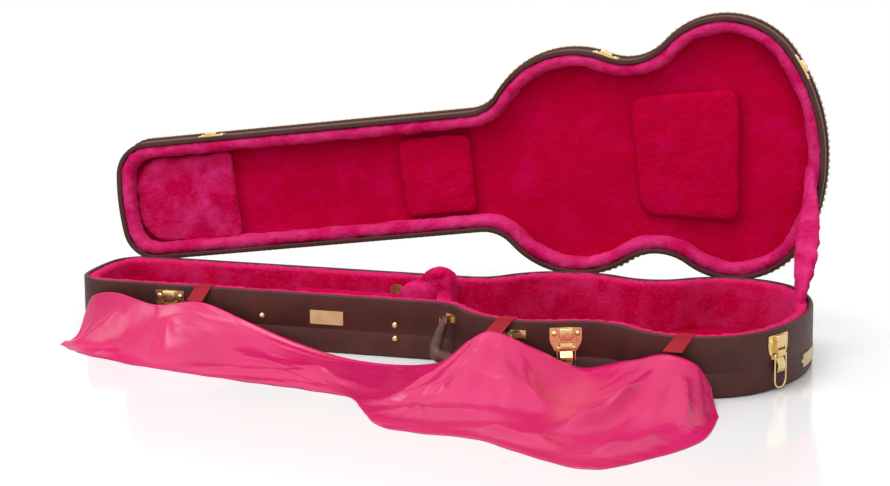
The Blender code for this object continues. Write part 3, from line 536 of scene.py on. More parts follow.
# %% Satin, ribbon and thread
def make_satin():
    satin = finish("satin", (0.54, 0.003, 0.095), 0.28, Specular_IOR_Level=0.45)
    where = coordinates(satin)
    drift = ranged(pattern(where, 9.0, 3.0, 0.5), 0.3, 0.7)
    creases = pattern(coordinates(satin, (1, 1.6, 1), (0, 0, 0.35)), 16.0, 2.0, 0.45, 0.6)
    threads = pattern(coordinates(satin, (1, 14, 14)), 260.0, 2.0)
    wire(satin, Base_Color=mixed(drift, (0.50, 0.002, 0.085), (0.58, 0.006, 0.115)))
    wire(satin, Normal=bump(threads, 0.0003, 0.2, bump(creases, 0.007, 0.4)))
    return satin


def make_striped(name, roughness, turn, waves, low, high, specular=0.5):
    striped = finish(name, high, roughness, Specular_IOR_Level=specular)
    values = {"Vector": coordinates(striped, turn=turn), "Scale": waves}
    stripes = add(striped.node_tree, "TexWave", values).outputs["Fac"]
    wire(striped, Base_Color=mixed(stripes, low, high))
    return striped, stripes


satin = make_satin()
grosgrain, ribs = make_striped(
    "ribbon_grosgrain", 0.6, (0, 0, 0.4), 260.0, (0.26, 0.004, 0.014), (0.36, 0.007, 0.022), 0.2
)
wire(grosgrain, Normal=bump(ribs, 0.0003, 0.6))
thread, _ = make_striped("cream_thread", 0.7, (0.5, 0.5, 0.5), 900.0, (0.62, 0.50, 0.32), (0.85, 0.74, 0.52))

# %% [markdown]
# The hardware is brass plate, polished once and fingered since: its roughness and colour change slowly over
# each piece. The nameplate is paler and less of a mirror. The grip's leather is worn lighter in places.


# %% Brass, leather and dark gaps
def make_brass(name, colour, roughness, metallic=1.0):
    brass = finish(name, colour, roughness, metallic)
    where = coordinates(brass)
    smears = pattern(where, 160.0, 3.0, 0.6)
    tarnish = ranged(pattern(where, 60.0), 0.35, 0.75)
    wire(brass, Roughness=ranged(smears, 0.3, 0.7, roughness * 0.7, roughness * 1.5))
    wire(brass, Base_Color=mixed(tarnish, colour, [c * 0.82 for c in colour]))
    wire(brass, Normal=bump(smears, 0.0002, 0.15))
    return brass


def make_grip_leather():
    leather = finish("grip_leather", (0.075, 0.030, 0.022), 0.45, Specular_IOR_Level=0.35)
    where = coordinates(leather)
    values = {"Vector": where, "Scale": 700.0}
    pores = add(where.id_data, "TexVoronoi", values, feature="DISTANCE_TO_EDGE").outputs["Distance"]
    worn = ranged(pattern(where, 45.0, 3.0), 0.35, 0.7)
    wire(leather, Base_Color=mixed(worn, (0.060, 0.024, 0.018), (0.12, 0.055, 0.040)))
    wire(leather, Normal=bump(pores, 0.0004, 0.5))
    return leather


brass = make_brass("brass", (0.80, 0.58, 0.28), 0.27)
pale_brass = make_brass("plate_brass", (0.62, 0.46, 0.22), 0.34, 0.55)
# A darker, olive brass for the pull tab.
olive_tab_brass = make_brass("olive_brass", (0.34, 0.26, 0.12), 0.4)
leather = make_grip_leather()
dark = finish("dark_gap", (0.012, 0.008, 0.006), 0.6)
print(len(bpy.data.materials), "materials")

# %% [markdown]
# ## Base shell
# The wall is plywood bent to the plan and wrapped in vinyl. Its rim is turned over a rounded edge, its
# bottom edge is softened by the wrap, and a fine crease runs round it. One ring with rounded corners makes
# all of this. The bottom is the frame's own plate, which fills the inside of the ring.

# %% Base wall and bottom
WRAP_SPACING = 0.007
wall_profile = [(0.0, 0.006), (0.0005, 0.0035), (0.0022, 0.0014), (0.0045, 0.0003), (0.006, 0.0)]
wall_profile += [(WALL, 0.0), (WALL, 0.04), (WALL, RIM - 0.0015), (WALL - 0.0012, RIM - 0.0001)]
wall_profile += [(WALL / 2, RIM), (0.0013, RIM - 0.0002), (0.0003, RIM - 0.001), (0.0, RIM - 0.0025)]
wall_profile += [(0.0, 0.0358), (0.0004, 0.0351), (0.0, 0.0344)]
base_wall = make("base_wall_wrap", ring(wall_profile, WRAP_SPACING), vinyl, ["base_wall"], 50)
# The second slot is a spare one that no face uses.
base_wall.data.materials.append(dark)
frame["nodes"]["base_bottom"].data.materials[0] = vinyl
print("base wall", len(base_wall.data.vertices), "points")

# %% [markdown]
# ## Plush lining of the base
# Foam behind the plush gives the side lining its rounded top edge. The pile is combed unevenly, so the edge
# is never straight. Two sizes of noise push the points about: broad wrinkles that run up and down where the
# plush is gathered, and small tufts.

# %% Side and floor lining of the base
inner = LINING + PADDING
LAP = 0.0012
SOFT_SPACING = 0.0045


def lining_profile(edge, foot, bulge):
    """Section of a side lining from behind its top edge, over the edge and down its soft face."""
    up = 1 if edge > foot else -1
    half = (PADDING + LAP) / 2
    turns = [pi * k / 8 for k in range(9)]
    tip = [(LINING - LAP + half - half * cos(a), edge + up * 0.0066 * (sin(a) - 1)) for a in turns]
    rise = abs(edge - foot) - 0.008
    face = [(inner + bulge * sin(pi * k / 9), edge - up * (0.006 + rise * k / 9)) for k in range(1, 10)]
    return tip + face + [(inner, foot), (LINING, foot), (LINING, edge - up * 0.008)]


side = ring(lining_profile(RIM - 0.0002, FLOOR - 0.003, 0.0012), SOFT_SPACING)
ruffle(side, 0.0028, 0.030, (0.75, 0.75, 3.0), 3.0, lambda co: co.z < RIM - 0.004)
ruffle(side, 0.0016, 0.008, (1, 1, 1.4), 7.0)
make("base_side_plush", side, plush, ["base_side_lining"], 180)

pad_edge = inner + 0.0005
floor_profile = [(pad_edge, 0.0055), (pad_edge, FLOOR - 0.002), (inner + 0.003, FLOOR)]
floor_pad = ring(floor_profile, 0.01, False, True)
print("floor pad", len(floor_pad.verts), "points")
make("base_floor_plush", floor_pad, deep_plush, ["base_floor_lining"], 60)

# %% [markdown]
# ## Neck cradle and compartment
# Two rounded horns keep the guitar's neck in the middle, on a padded rest. They are foam blocks wrapped in
# plush, so their edges are full and soft. A low block and two horns are rebuilt from small even squares as
# one piece, smoothed and ruffled. Behind them, a lidded box holds strings and straps.

# %% Neck cradle
CRADLE_U = (0.4975, 0.5475)
CRADLE_HALF = 0.0640
CRADLE_TOP = 0.1025
CRADLE_FOOT = FLOOR + 0.0003
NECK_REST = 0.060
HORN = 0.0335
HORN_HEIGHT = 0.070


def across_neck(bm, u):
    """Turns points from x along and y across to their place over the neck channel at u."""
    place = Matrix.Translation((*plan_point(u, 0), 0)) @ TURN.to_4x4()
    bmesh.ops.transform(bm, matrix=place, verts=bm.verts)


def cradle_shape():
    bm = bmesh.new()
    length = CRADLE_U[1] - CRADLE_U[0]
    size = (length, CRADLE_HALF * 2, NECK_REST - CRADLE_FOOT)
    block(bm, size, (0, 0, (CRADLE_FOOT + NECK_REST) / 2))
    for hand in (-1, 1):
        middle = (0, hand * (CRADLE_HALF - HORN / 2), CRADLE_TOP - HORN_HEIGHT / 2)
        horn = block(bm, (length, HORN, HORN_HEIGHT), middle)
        crest = [edge for edge in edges_of(horn) if min(v.co.z for v in edge.verts) > CRADLE_TOP - 0.001]
        ends = [edge for edge in crest if abs(edge.verts[0].co.x - edge.verts[1].co.x) < 0.001]
        soften(bm, ends, length * 0.42, 8)
    across_neck(bm, sum(CRADLE_U) / 2)
    return bm


cradle = voxels(cradle_shape(), 0.0028, 10)
ruffle(cradle, 0.0012, 0.012, seed=5.0)
ruffle(cradle, 0.0009, 0.005, seed=9.0)
print("cradle", len(cradle.verts), "points")
make("cradle_plush", cradle, head_plush, ["neck_cradle"], 180)

# %% [markdown]
# The compartment is closed by a partition and by a lid that lifts by a small brass tab. Both boards are
# padded, and their lid lies on the partition.

# %% Compartment: partition, lid and pull tab
PARTITION = (0.297, 0.305)
BOX_LID = (0.2972, 0.4963)
LID_BOTTOM = 0.0515
BOARD_EDGE = 0.002
TAB_WIDTH, TAB_THICK, TAB_SUNK = 0.019, 0.0024, 0.003


def soft_board(u_range, half, low, high):
    """A padded board across the neck channel with rounded edges, made of small even squares."""
    bm = bmesh.new()
    block(bm, (u_range[1] - u_range[0], half * 2, high - low), (0, 0, (low + high) / 2))
    soften(bm, bm.edges[:], BOARD_EDGE, 3)
    across_neck(bm, sum(u_range) / 2)
    return voxels(bm, 0.003, 1)


partition = soft_board(PARTITION, CRADLE_HALF, CRADLE_FOOT, LID_BOTTOM - 0.0016)
ruffle(partition, 0.0008, 0.006)
make("partition_plush", partition, plush, ["compartment_partition"], 180)

box_lid = soft_board(BOX_LID, CRADLE_HALF - 0.001, LID_BOTTOM, LID_BOTTOM + 0.0068)
ruffle(box_lid, 0.0012, 0.016, seed=2.0)
ruffle(box_lid, 0.0007, 0.005, seed=4.0)
make("compartment_lid_plush", box_lid, plush, ["compartment_lid"], 180, "compartment_lid")

tab_low, tab_high = (Vector(corner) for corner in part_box("pull_tab"))


def pull_tab():
    """A thin plate with rounded upper corners, standing in the lid near its end."""
    bm = bmesh.new()
    verts = block(bm, (TAB_WIDTH, TAB_THICK, tab_high.z - tab_low.z + TAB_SUNK))
    top = [edge for edge in edges_of(verts) if min(vert.co.z for vert in edge.verts) > 0]
    soften(bm, [edge for edge in top if edge.calc_length() < TAB_THICK * 1.1], 0.005, 5)
    middle = (tab_low + tab_high) / 2 - Vector((0, 0, TAB_SUNK / 2))
    bmesh.ops.transform(bm, matrix=Matrix.Translation(middle) @ TURN.to_4x4(), verts=bm.verts)
    return bm


make("pull_tab_plate", pull_tab(), olive_tab_brass, ["pull_tab"], body="compartment_lid")

# %% [markdown]
# ## Lid shell
# The lid is the same wall, less deep, under a softly crowned panel. The welt is a strip of vinyl sewn round
# the edge of the panel, with a row of thick cream stitches on the wall side.

# %% Lid wall and crowned panel
EDGE_RADIUS = 0.0014
insets, heights = (EDGE_RADIUS, WALL - EDGE_RADIUS), (LID_RIM + EDGE_RADIUS, LID_TOP - EDGE_RADIUS)
spokes = [Vector(way) for way in ((-1, 0), (0, -1), (1, 0), (0, 1), (-1, 0))]
lid_profile = []
for k, (side, end) in enumerate(((0, 0), (1, 0), (1, 1), (0, 1))):
    for step in range(4):
        spoke = spokes[k].lerp(spokes[k + 1], step / 3).normalized() * EDGE_RADIUS
        lid_profile.append((insets[side] + spoke.x, heights[end] + spoke.y))
on_lid("lid_wall_wrap", ring(lid_profile, WRAP_SPACING), vinyl, ["lid_wall"], 50)

CROWN_RUN = 0.034
edge = WALL + 0.0003
crown = [(edge, LID_TOP - 0.005), (edge, LID_TOP - 0.0005)]
crown += [(edge + CROWN_RUN * k / 8, LID_TOP + CROWN * sin(pi / 2 * k / 8)) for k in range(1, 9)]
on_lid("lid_crown", ring(crown, 0.009, False, True), vinyl, ["lid_top"], 60)

# %% Welt and its stitches
WELT_FOOT = LID_TOP - 0.010
foot = [(0.0002, 0), (-0.0010, -0.0002), (-0.0026, 0.0010), (-0.0030, 0.0035)]
head = [(-0.0028, -0.0025), (-0.0016, -0.0002), (0.0006, 0.0014), (WALL - 0.002, 0.0016)]
head += [(WALL - 0.001, 0.0009), (WALL - 0.001, 0.0003), (0.0, 0.0002)]
welt_profile = [(inset, WELT_FOOT + up) for inset, up in foot] + [(inset, LID_TOP + up) for inset, up in head]
on_lid("lid_welt_strip", ring(welt_profile, WRAP_SPACING), welt_vinyl, ["lid_welt"], 60)

STITCHES = round(AROUND / 0.0095)
STITCH_HALF_SIZE = (0.0034, 0.0018, 0.0019)
STITCH_UP, STITCH_OUT, STITCH_SLANT = 0.0042, 0.0034, 0.10


def stitches():
    bm = bmesh.new()
    shape = Matrix.Rotation(STITCH_SLANT, 4, "Y") @ Matrix.Diagonal((*STITCH_HALF_SIZE, 1))
    for k in range(STITCHES):
        place = wall_frame(AROUND * k / STITCHES, WELT_FOOT + STITCH_UP, STITCH_OUT) @ shape
        bmesh.ops.create_uvsphere(bm, u_segments=8, v_segments=6, radius=1, matrix=place)
    return bm


on_lid("lid_welt_stitches", stitches(), thread, smooth=180)
print(STITCHES, "stitches")

# %% [markdown]
# ## Plush lining of the lid
# The side lining is a round roll of pile. Its colour is a painted sheen, paler than the flat panel behind
# it, for fibres seen from their tips and sides. On the panel three pads press on the guitar: headstock, neck
# and body.

# %% Side and panel lining of the lid
LID_FACE = LID_TOP - 0.0136
lid_side = ring(lining_profile(LID_RIM + 0.0006, LID_FACE + 0.001, 0.0015), SOFT_SPACING)
ruffle(lid_side, 0.0024, 0.026, (1, 1, 1.6), 11.0, lambda co: LID_RIM + 0.004 < co.z < LID_FACE - 0.004)
ruffle(lid_side, 0.0018, 0.0075, (1, 1, 1), 13.0)
on_lid("lid_side_plush", lid_side, edge_plush, ["lid_side_lining"], 180)

behind = LINING + 0.001
panel_profile = [(behind, LID_TOP - 0.0054), (behind, LID_FACE + 0.002), (LINING + 0.004, LID_FACE)]
panel = voxels(ring(panel_profile, 0.01, False, True), 0.0055, 1)
ruffle(panel, 0.0022, 0.045, seed=15.0)
ruffle(panel, 0.0008, 0.014, seed=17.0)
on_lid("lid_panel_plush", panel, deep_plush, ["lid_panel_lining"], 180)

# %% [markdown]
# A pad starts as a flat face with rounded corners. It is extruded, and rings inset from its edge are each
# lifted a little less, which makes the dome of a stuffed cushion.

# %% Pads of the lid
PAD = 0.014
# Each pad: its corners as u and v, their radii, and its pile.
PADS = {
    "headstock": (
        ((0.0245, -0.064), (0.180, -0.062), (0.183, 0.0655), (0.0245, 0.0655)),
        (0.047, 0.006, 0.006, 0.047),
        head_plush,
    ),
    "neck": (((0.442, -0.057), (0.552, -0.057), (0.552, 0.060), (0.442, 0.060)), [0.013] * 4, deep_plush),
    "body": (((0.797, -0.088), (0.960, -0.084), (0.938, 0.110), (0.796, 0.086)), [0.02] * 4, deep_plush),
}


def pad_shape(corners, radii):
    bm = bmesh.new()
    verts = [bmesh.ops.create_vert(bm, co=(*plan_point(u, v), LID_FACE))["vert"][0] for u, v in corners]
    bmesh.ops.contextual_create(bm, geom=verts)
    for vert, radius in zip(verts, radii):
        soften(bm, [vert], radius, 8, "VERTICES")
    grown = bmesh.ops.extrude_face_region(bm, geom=bm.faces[:])["geom"]
    bmesh.ops.translate(bm, vec=(0, 0, -PAD + 0.003), verts=of_kind(grown, BMVert))
    top = of_kind(grown, BMFace)
    for inset, lift in ((0.004, 0.0018), (0.008, 0.0012), (0.014, 0.0)):
        bmesh.ops.inset_region(bm, faces=top, thickness=inset, depth=0.0, use_even_offset=True)
        bmesh.ops.translate(bm, vec=(0, 0, -lift), verts=list({vert for face in top for vert in face.verts}))
    bmesh.ops.recalc_face_normals(bm, faces=bm.faces)
    return bm


for name, (corners, radii, pile) in PADS.items():
    pad = voxels(pad_shape(corners, radii), 0.003, 3)
    ruffle(pad, 0.0022, 0.028, seed=21.0)
    ruffle(pad, 0.0010, 0.007, seed=23.0)
    piece = on_lid(f"{name}_pad", pad, pile, [f"lid_{name}_pad"], 180)
    print(name, "pad", len(piece.data.vertices), "points")

# %% [markdown]
# ## Lid stay
# A padded strap at the tail keeps the lid from falling back. It is plush like the lining, slack in the
# middle, and sewn to the side linings at both ends. A tube follows a bent path. When the lid closes, the
# strap crumples down into the case, so here it flattens towards its foot.

# %% Lid stay
STAY_WIDTH = 0.037
STAY_END_WIDTH = 0.035
STAY_THICK = 0.016
STAY_BEYOND_TAIL = 0.053
STAY_SEWN = 0.018
STAY_SUNK = 0.002
STAY_SLACK = Vector((0.010, -0.024, -0.004))
STAY_TWIST = radians(72)
STAY_STEPS = 28


def stay():
    tail = AROUND / 2 + STAY_BEYOND_TAIL
    point, out = walk(tail, inner - STAY_SUNK)
    foot = Vector((*point, RIM - STAY_SEWN))
    top = OPEN @ Vector((*walk(tail - 0.006, inner - STAY_SUNK)[0], LID_RIM + STAY_SEWN))
    knee = foot.lerp(top, 0.5) + STAY_SLACK
    facing, turned = out.to_3d(), OPEN.to_3x3() @ out.to_3d()
    places = []
    for k in range(STAY_STEPS + 1):
        t = k / STAY_STEPS
        share = sin(pi * t) ** 2
        spot = foot * (1 - t) ** 2 + knee * 2 * t * (1 - t) + top * t**2
        ahead = ((knee - foot) * (1 - t) + (top - knee) * t).normalized()
        flat = facing.lerp(turned, t).cross(ahead).normalized()
        flat.rotate(Matrix.Rotation(STAY_TWIST * share, 3, ahead))
        turn = Matrix((flat, ahead.cross(flat), ahead)).transposed().to_4x4()
        half = (STAY_END_WIDTH + (STAY_WIDTH - STAY_END_WIDTH) * share) / 2
        places.append(Matrix.Translation(spot) @ turn @ Matrix.Diagonal((half, STAY_THICK / 2, 1, 1)))
    return tube(places, 20), foot, top


strap, strap_foot, strap_top = stay()
strap = voxels(strap, 0.003, 2)
ruffle(strap, 0.002, 0.010, seed=31.0)
ruffle(strap, 0.0012, 0.005, seed=33.0)
piece = make("lid_stay_strap", strap, edge_plush, ["lid_stay"], 180)
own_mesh(piece)
print("stay is", round((strap_top - strap_foot).length, 3), "m from end to end")

# %% [markdown]
# ## Draw latches
# Each latch is pressed from brass sheet: a plate with a raised housing and two rivets, a curved lever that
# turns in the housing's ears, and a wire bail. The frame's levers and bails move, so they stay as they are
# and get a better brass. The plates are made again here with soft edges, ears and rivets.


# %% Plates and boxes on the wall
PLATE_OUT = 0.0003
PLATE_THICK = 0.0012


def wall_plate(distance, half, low, high, foot=None, corner=0.002, columns=12):
    """A sheet-metal plate that follows the wall, narrower at its foot where foot is given."""
    bm = grid(columns, 6)
    for vert in bm.verts:
        up = (vert.co.y + 1) / 2
        width = half if foot is None else foot + (half - foot) * min(1, up / 0.42)
        vert.co = (*walk(distance + vert.co.x * width, -PLATE_OUT)[0], low + (high - low) * up)
    soften(bm, [vert for vert in bm.verts if len(vert.link_edges) == 2], corner, 4, "VERTICES")
    bm.normal_update()
    bmesh.ops.solidify(bm, geom=bm.faces[:], thickness=-PLATE_THICK)
    return bm


def box_on_wall(bm, distance, half, low, high, near, far, edge):
    """Adds a block that stands on the wall from near to far, with softened edges."""
    verts = block(bm, (half * 2, far - near, high - low), (0, -(near + far) / 2, (low + high) / 2))
    bmesh.ops.transform(bm, matrix=wall_frame(distance, 0), verts=verts)
    soften(bm, edges_of(verts), edge, 3)


def rivets(bm, distance, apart, height, out, radius):
    """Two domed rivet heads on a plate."""
    for hand in (-1, 1):
        ball = bmesh.ops.create_uvsphere(bm, u_segments=18, v_segments=10, radius=radius)["verts"]
        bmesh.ops.scale(bm, vec=(1, 0.55, 1), verts=ball)
        bmesh.ops.transform(bm, matrix=wall_frame(distance + hand * apart, height, out), verts=ball)


# %% Latch plates with housings, rivets and catches
LATCHES = {"head_latch": 0.158, "waist_latch": CASE_LENGTH - 0.305, "tail_latch": CASE_LENGTH - 0.0225}
PLATE_TOP = RIM - 0.008
PLATE_LOW = PLATE_TOP - 0.033
PLATE_HALF, PLATE_FOOT = 0.022, 0.0145
CATCH_LOW = LID_RIM + 0.0015
CATCH_HALF, CATCH_TALL = 0.020, 0.020
EAR_APART = 0.00955
for name, u in LATCHES.items():
    spot = front_at(u)
    plate = wall_plate(spot, PLATE_HALF, PLATE_LOW, PLATE_TOP, foot=PLATE_FOOT)
    rivets(plate, spot, apart=0.0158, height=PLATE_TOP - 0.0085, out=0.0015, radius=0.0036)
    for ear in (spot - EAR_APART, spot + EAR_APART):
        low, high = PLATE_LOW + 0.009, PLATE_TOP - 0.016
        box_on_wall(plate, ear, 0.00075, low, high, near=0.0008, far=0.0066, edge=0.0003)
    low, high = PLATE_TOP - 0.018, PLATE_TOP - 0.0005
    box_on_wall(plate, spot, 0.0095, low, high, near=0.0006, far=0.0065, edge=0.0014)
    make(f"{name}_housing", plate, brass, [f"{name}_plate"])
    hook = wall_plate(spot, CATCH_HALF, CATCH_LOW, CATCH_LOW + CATCH_TALL)
    low, high = CATCH_LOW + 0.001, CATCH_LOW + 0.0058
    box_on_wall(hook, spot, 0.009, low, high, near=0.0006, far=0.0068, edge=0.0012)
    rivets(hook, spot, apart=0.0145, height=CATCH_LOW + 0.012, out=0.0015, radius=0.0026)
    on_lid(f"{name}_hook", hook, brass, [f"{name}_catch"])
print(len(LATCHES), "latches")

# %% [markdown]
# ## Handle
# The grip is a leather tube folded over a core, thin where it loops round the pins and full in the middle.
# It hangs on two brackets and leans out from the bulge of the upper bout. A tube follows a U-shaped path
# that is drawn for its right half and mirrored.

# %% Handle grip
handle = next(joint for joint in frame["joints"] if joint["name"] == "handle_swing")
HANDLE_TILT = radians(19)
GRIP_DROP = 0.051
GRIP_CORNER = 0.014
GRIP_SPLAY = 0.0055
left_bracket, right_bracket = (walk(front_at(CASE_LENGTH - from_tail))[0] for from_tail in (0.483, 0.369))
HALF_SPAN = (right_bracket - left_bracket).length / 2


def grip_frame():
    """Axes of the hanging handle: X along its pins, Y towards the wall, Z up its legs."""
    across = -Vector(handle["axis"]).normalized()
    inward = Vector((-across.y, across.x, 0))
    level = Matrix((across, inward, Vector((0, 0, 1)))).transposed().to_4x4()
    return Matrix.Translation(handle["pos_m"]) @ level @ Matrix.Rotation(-HANDLE_TILT, 4, "X")


def grip_path():
    """Stations along the grip: place, and how full it is from 0 to 1."""
    leg = ((0, 0.0045, 0.0), (0, 0.0, 0.1), (0.001, -0.008, 0.4), (0.003, -0.018, 0.8))
    right = [(HALF_SPAN + out, z, full) for out, z, full in leg]
    for step in range(9):
        angle = -step * pi / 16
        x = HALF_SPAN + GRIP_SPLAY - GRIP_CORNER + GRIP_CORNER * cos(angle)
        right.append((x, -(GRIP_DROP - GRIP_CORNER) + GRIP_CORNER * sin(angle), 1.0))
    right += [(HALF_SPAN * share, -GRIP_DROP, 1.0) for share in (0.5, 0.25, 0.0)]
    return [(-x, z, full) for x, z, full in right] + right[-2::-1]


def grip():
    path = grip_path()
    places = []
    for k, (x, z, full) in enumerate(path):
        (x0, z0, _), (x1, z1, _) = path[max(k - 1, 0)], path[min(k + 1, len(path) - 1)]
        ahead = Vector((x1 - x0, 0, z1 - z0)).normalized()
        across = Vector((-ahead.z, 0, ahead.x))
        wide, thick = 0.010 + 0.0080 * full, 0.0075 + 0.0090 * full
        turn = Matrix((across, Vector((0, 1, 0)), ahead)).transposed().to_4x4()
        places.append(Matrix.Translation((x, 0, z)) @ turn @ Matrix.Diagonal((wide / 2, thick / 2, 1, 1)))
    bm = tube(places, 24)
    bmesh.ops.transform(bm, matrix=grip_frame(), verts=bm.verts)
    return bm


make("handle_grip_leather", grip(), leather, ["handle_grip"], 60, "handle")
print("grip spans", round(HALF_SPAN * 2, 4), "m")

# %% [markdown]
# ## Nameplate, end plate, studs and hinges
# These small pieces are plain brass. The nameplate and the end plate are bare sheets with rounded corners
# that follow the wall, held by two small pins each. The studs and hinges keep the frame's shapes.

# %% Plates and the frame's brass pieces
NAMEPLATE = front_at(0.400)
nameplate = wall_plate(NAMEPLATE, 0.025, RIM - 0.0428, RIM - 0.0228, corner=0.0012)
rivets(nameplate, NAMEPLATE, apart=0.0222, height=RIM - 0.0328, out=0.0014, radius=0.0011)
make("nameplate_sheet", nameplate, pale_brass, ["nameplate"])

TAIL = AROUND / 2
end_plate = wall_plate(TAIL, 0.036, 0.0145, 0.0325, columns=24)
rivets(end_plate, TAIL, apart=0.038, height=0.0235, out=0.0004, radius=0.0028)
make("end_plate_sheet", end_plate, pale_brass, ["end_plate"])

kept = ("stud", "hinge", "lock", "handle_bracket", "handle_pin")
for name, node in frame["nodes"].items():
    if name.startswith(kept) or name.endswith(("latch_lever", "latch_bail")):
        node.data.materials[0] = brass
print("end plate at", [round(value, 3) for value in walk(TAIL)[0]])

# %% [markdown]
# ## Satin cover on its ribbons
# The cover protects the guitar's face. Here it is turned out over the front rim, where three ribbons hold
# it, and it slides down to the floor. A fine grid is laid out between its two edges: one hangs in swags from
# ribbon to ribbon, and the other lies on the floor. The height falls off from the wall as hanging satin
# does, and folds run out from each ribbon.


# %% Edges of the cover
def front_wall_y(x):
    return walk(halving(lambda place: place.x < x))[0].y


# Rows: X and height of the hanging edge, its distance from the wall, X and Y of the edge on the floor, and
# how far out the cloth slopes for its height.
COVER = (
    (-0.521, 0.034, 0.014, -0.540, -0.045, 0.00),
    (-0.505, 0.062, 0.014, -0.513, -0.072, 0.02),
    (-0.462, 0.073, 0.028, -0.478, -0.103, 0.08),
    (-0.392, 0.065, 0.052, -0.394, -0.144, 0.30),
    (-0.335, 0.065, 0.016, -0.337, -0.167, 1.30),
    (-0.2635, 0.042, 0.018, -0.263, -0.193, 1.60),
    (-0.190, 0.018, 0.022, -0.180, -0.218, 1.60),
    (-0.119, 0.004, 0.034, -0.110, -0.243, 0.80),
    (-0.050, 0.003, 0.052, -0.058, -0.264, 0.80),
    (0.010, 0.005, 0.046, -0.032, -0.310, 0.80),
    (0.045, 0.022, 0.060, -0.010, -0.358, 1.20),
    (0.0826, 0.057, 0.050, 0.014, -0.396, 1.60),
    (0.118, 0.071, 0.022, 0.059, -0.420, 1.70),
    (0.176, 0.051, 0.018, 0.148, -0.438, 1.80),
    (0.240, 0.024, 0.018, 0.229, -0.502, 2.00),
    (0.310, 0.046, 0.016, 0.304, -0.546, 1.60),
    (0.357, 0.062, 0.015, 0.356, -0.510, 1.30),
    (0.399, 0.051, 0.016, 0.426, -0.402, 1.00),
    (0.420, 0.020, 0.018, 0.437, -0.278, 0.60),
)


def cover_row(share):
    """The values at a share of the way along the rows, on a smooth curve through them."""
    place = share * (len(COVER) - 1)
    k = min(int(place), len(COVER) - 2)
    t = place - k
    near = [COVER[min(max(j, 0), len(COVER) - 1)] for j in (k - 1, k, k + 1, k + 2)]
    bends = [(a, b, c, 2 * a - 5 * b + 4 * c - d, 3 * (b - c) + d - a) for a, b, c, d in zip(*near)]
    return [b + t * (c - a + t * (curve + t * twist)) / 2 for a, b, c, curve, twist in bends]


print("the front wall stands at", round(front_wall_y(0), 4), "m in the middle")

# %% Folds of the cover
# Each fold runs along a chain of places on the floor plan, with its height and half width in the middle.
FOLDS = (
    (((-0.351, 0.000), (-0.392, -0.026), (-0.453, -0.040), (-0.532, -0.040)), 0.024, 0.013),
    (((-0.345, -0.010), (-0.358, -0.060), (-0.382, -0.115)), 0.014, 0.022),
    (((-0.440, -0.085), (-0.470, -0.090)), 0.006, 0.014),
    (((-0.310, -0.160), (-0.200, -0.170), (-0.100, -0.180)), 0.012, 0.014),
    (((-0.261, -0.105), (-0.150, -0.150), (-0.045, -0.215)), 0.014, 0.016),
    (((-0.263, -0.196), (-0.160, -0.216), (-0.078, -0.236)), 0.009, 0.012),
    (((-0.011, -0.281), (0.050, -0.262), (0.116, -0.242)), 0.013, 0.016),
    (((0.245, -0.377), (0.300, -0.320), (0.344, -0.251)), 0.016, 0.020),
    (((0.100, -0.185), (0.060, -0.215), (0.010, -0.245)), 0.012, 0.018),
    (((0.120, -0.185), (0.165, -0.240), (0.225, -0.300)), 0.014, 0.024),
    (((0.354, -0.225), (0.335, -0.270), (0.300, -0.330)), 0.014, 0.020),
    (((0.374, -0.225), (0.398, -0.290), (0.405, -0.350)), 0.014, 0.016),
    (((0.140, -0.385), (0.205, -0.420), (0.262, -0.465)), 0.011, 0.016),
    (((0.300, -0.485), (0.355, -0.430), (0.395, -0.355)), 0.012, 0.018),
    (((0.010, -0.325), (0.090, -0.335), (0.180, -0.325)), 0.011, 0.016),
)


def fold_height(x, y):
    """Height of all folds at a place, highest along each chain and fading at its ends."""
    total = 0.0
    for chain, height, half in FOLDS:
        nearest, share = 1.0, 0.0
        for k, ((x0, y0), (x1, y1)) in enumerate(zip(chain, chain[1:])):
            run, off = Vector((x1 - x0, y1 - y0)), Vector((x - x0, y - y0))
            part = max(0.0, min(1.0, off.dot(run) / run.length_squared))
            gap = (off - run * part).length
            if gap < nearest:
                nearest, share = gap, (k + part) / (len(chain) - 1)
        ends = min(1.0, 3 * share + 0.35) * min(1.0, 3 * (1 - share) + 0.1)
        total += height * ends * exp(-((nearest / half) ** 2))
    return total


# %% First shape of the cover
COLUMNS, ROWS = 236, 78
CLOTH_REST = 0.0032
HEAD_INSIDE = plan_point(0, 0).x + 0.016


def cover_start():
    """The sheet before it settles, the points of its held edges, and how far folds raise each point."""
    bm = grid(COLUMNS, ROWS)
    columns, held, lifts = {}, [], []
    for vert in bm.verts:
        along, down = (vert.co.x + 1) / 2, (1 - vert.co.y) / 2
        key = round(vert.co.x, 5)
        if key not in columns:
            row = cover_row(along)
            columns[key] = (*row, front_wall_y(max(row[0], HEAD_INSIDE)) - row[2])
        x0, z0, _, x1, y1, slope, y0 = columns[key]
        x, y = x0 + (x1 - x0) * down, y0 + (y1 - y0) * down
        hang = exp(-((down * abs(y1 - y0) / (0.012 + slope * z0)) ** 1.2)) * (1 - down**4)
        raised = fold_height(x, y) * (1 - hang) * min(1.0, down * 5) * min(1.0, (1 - down) * 7)
        wave = noise.noise(Vector((along * 34, 3.1, 0))) * max(0.0, down - 0.9) * 10
        vert.co = (x, y + wave * 0.006, CLOTH_REST + z0 * hang + raised + abs(wave) * 0.002)
        if min(down, 1 - down, along, 1 - along) < 0.001:
            held.append(vert.index)
        lifts.append(raised)
    return bm, held, lifts


# %% [markdown]
# Cloth settles by itself, so the sheet is handed to Blender's cloth solver for a few frames. All its edges
# are held where they lie in the photograph, and the sheet is drawn slightly tight, because a slack one
# crumples into pleats. Plain collision shapes stand for the floor and the wall, and go afterwards. A tight
# sheet flattens its folds, so they are pressed up again at the end and smoothed.


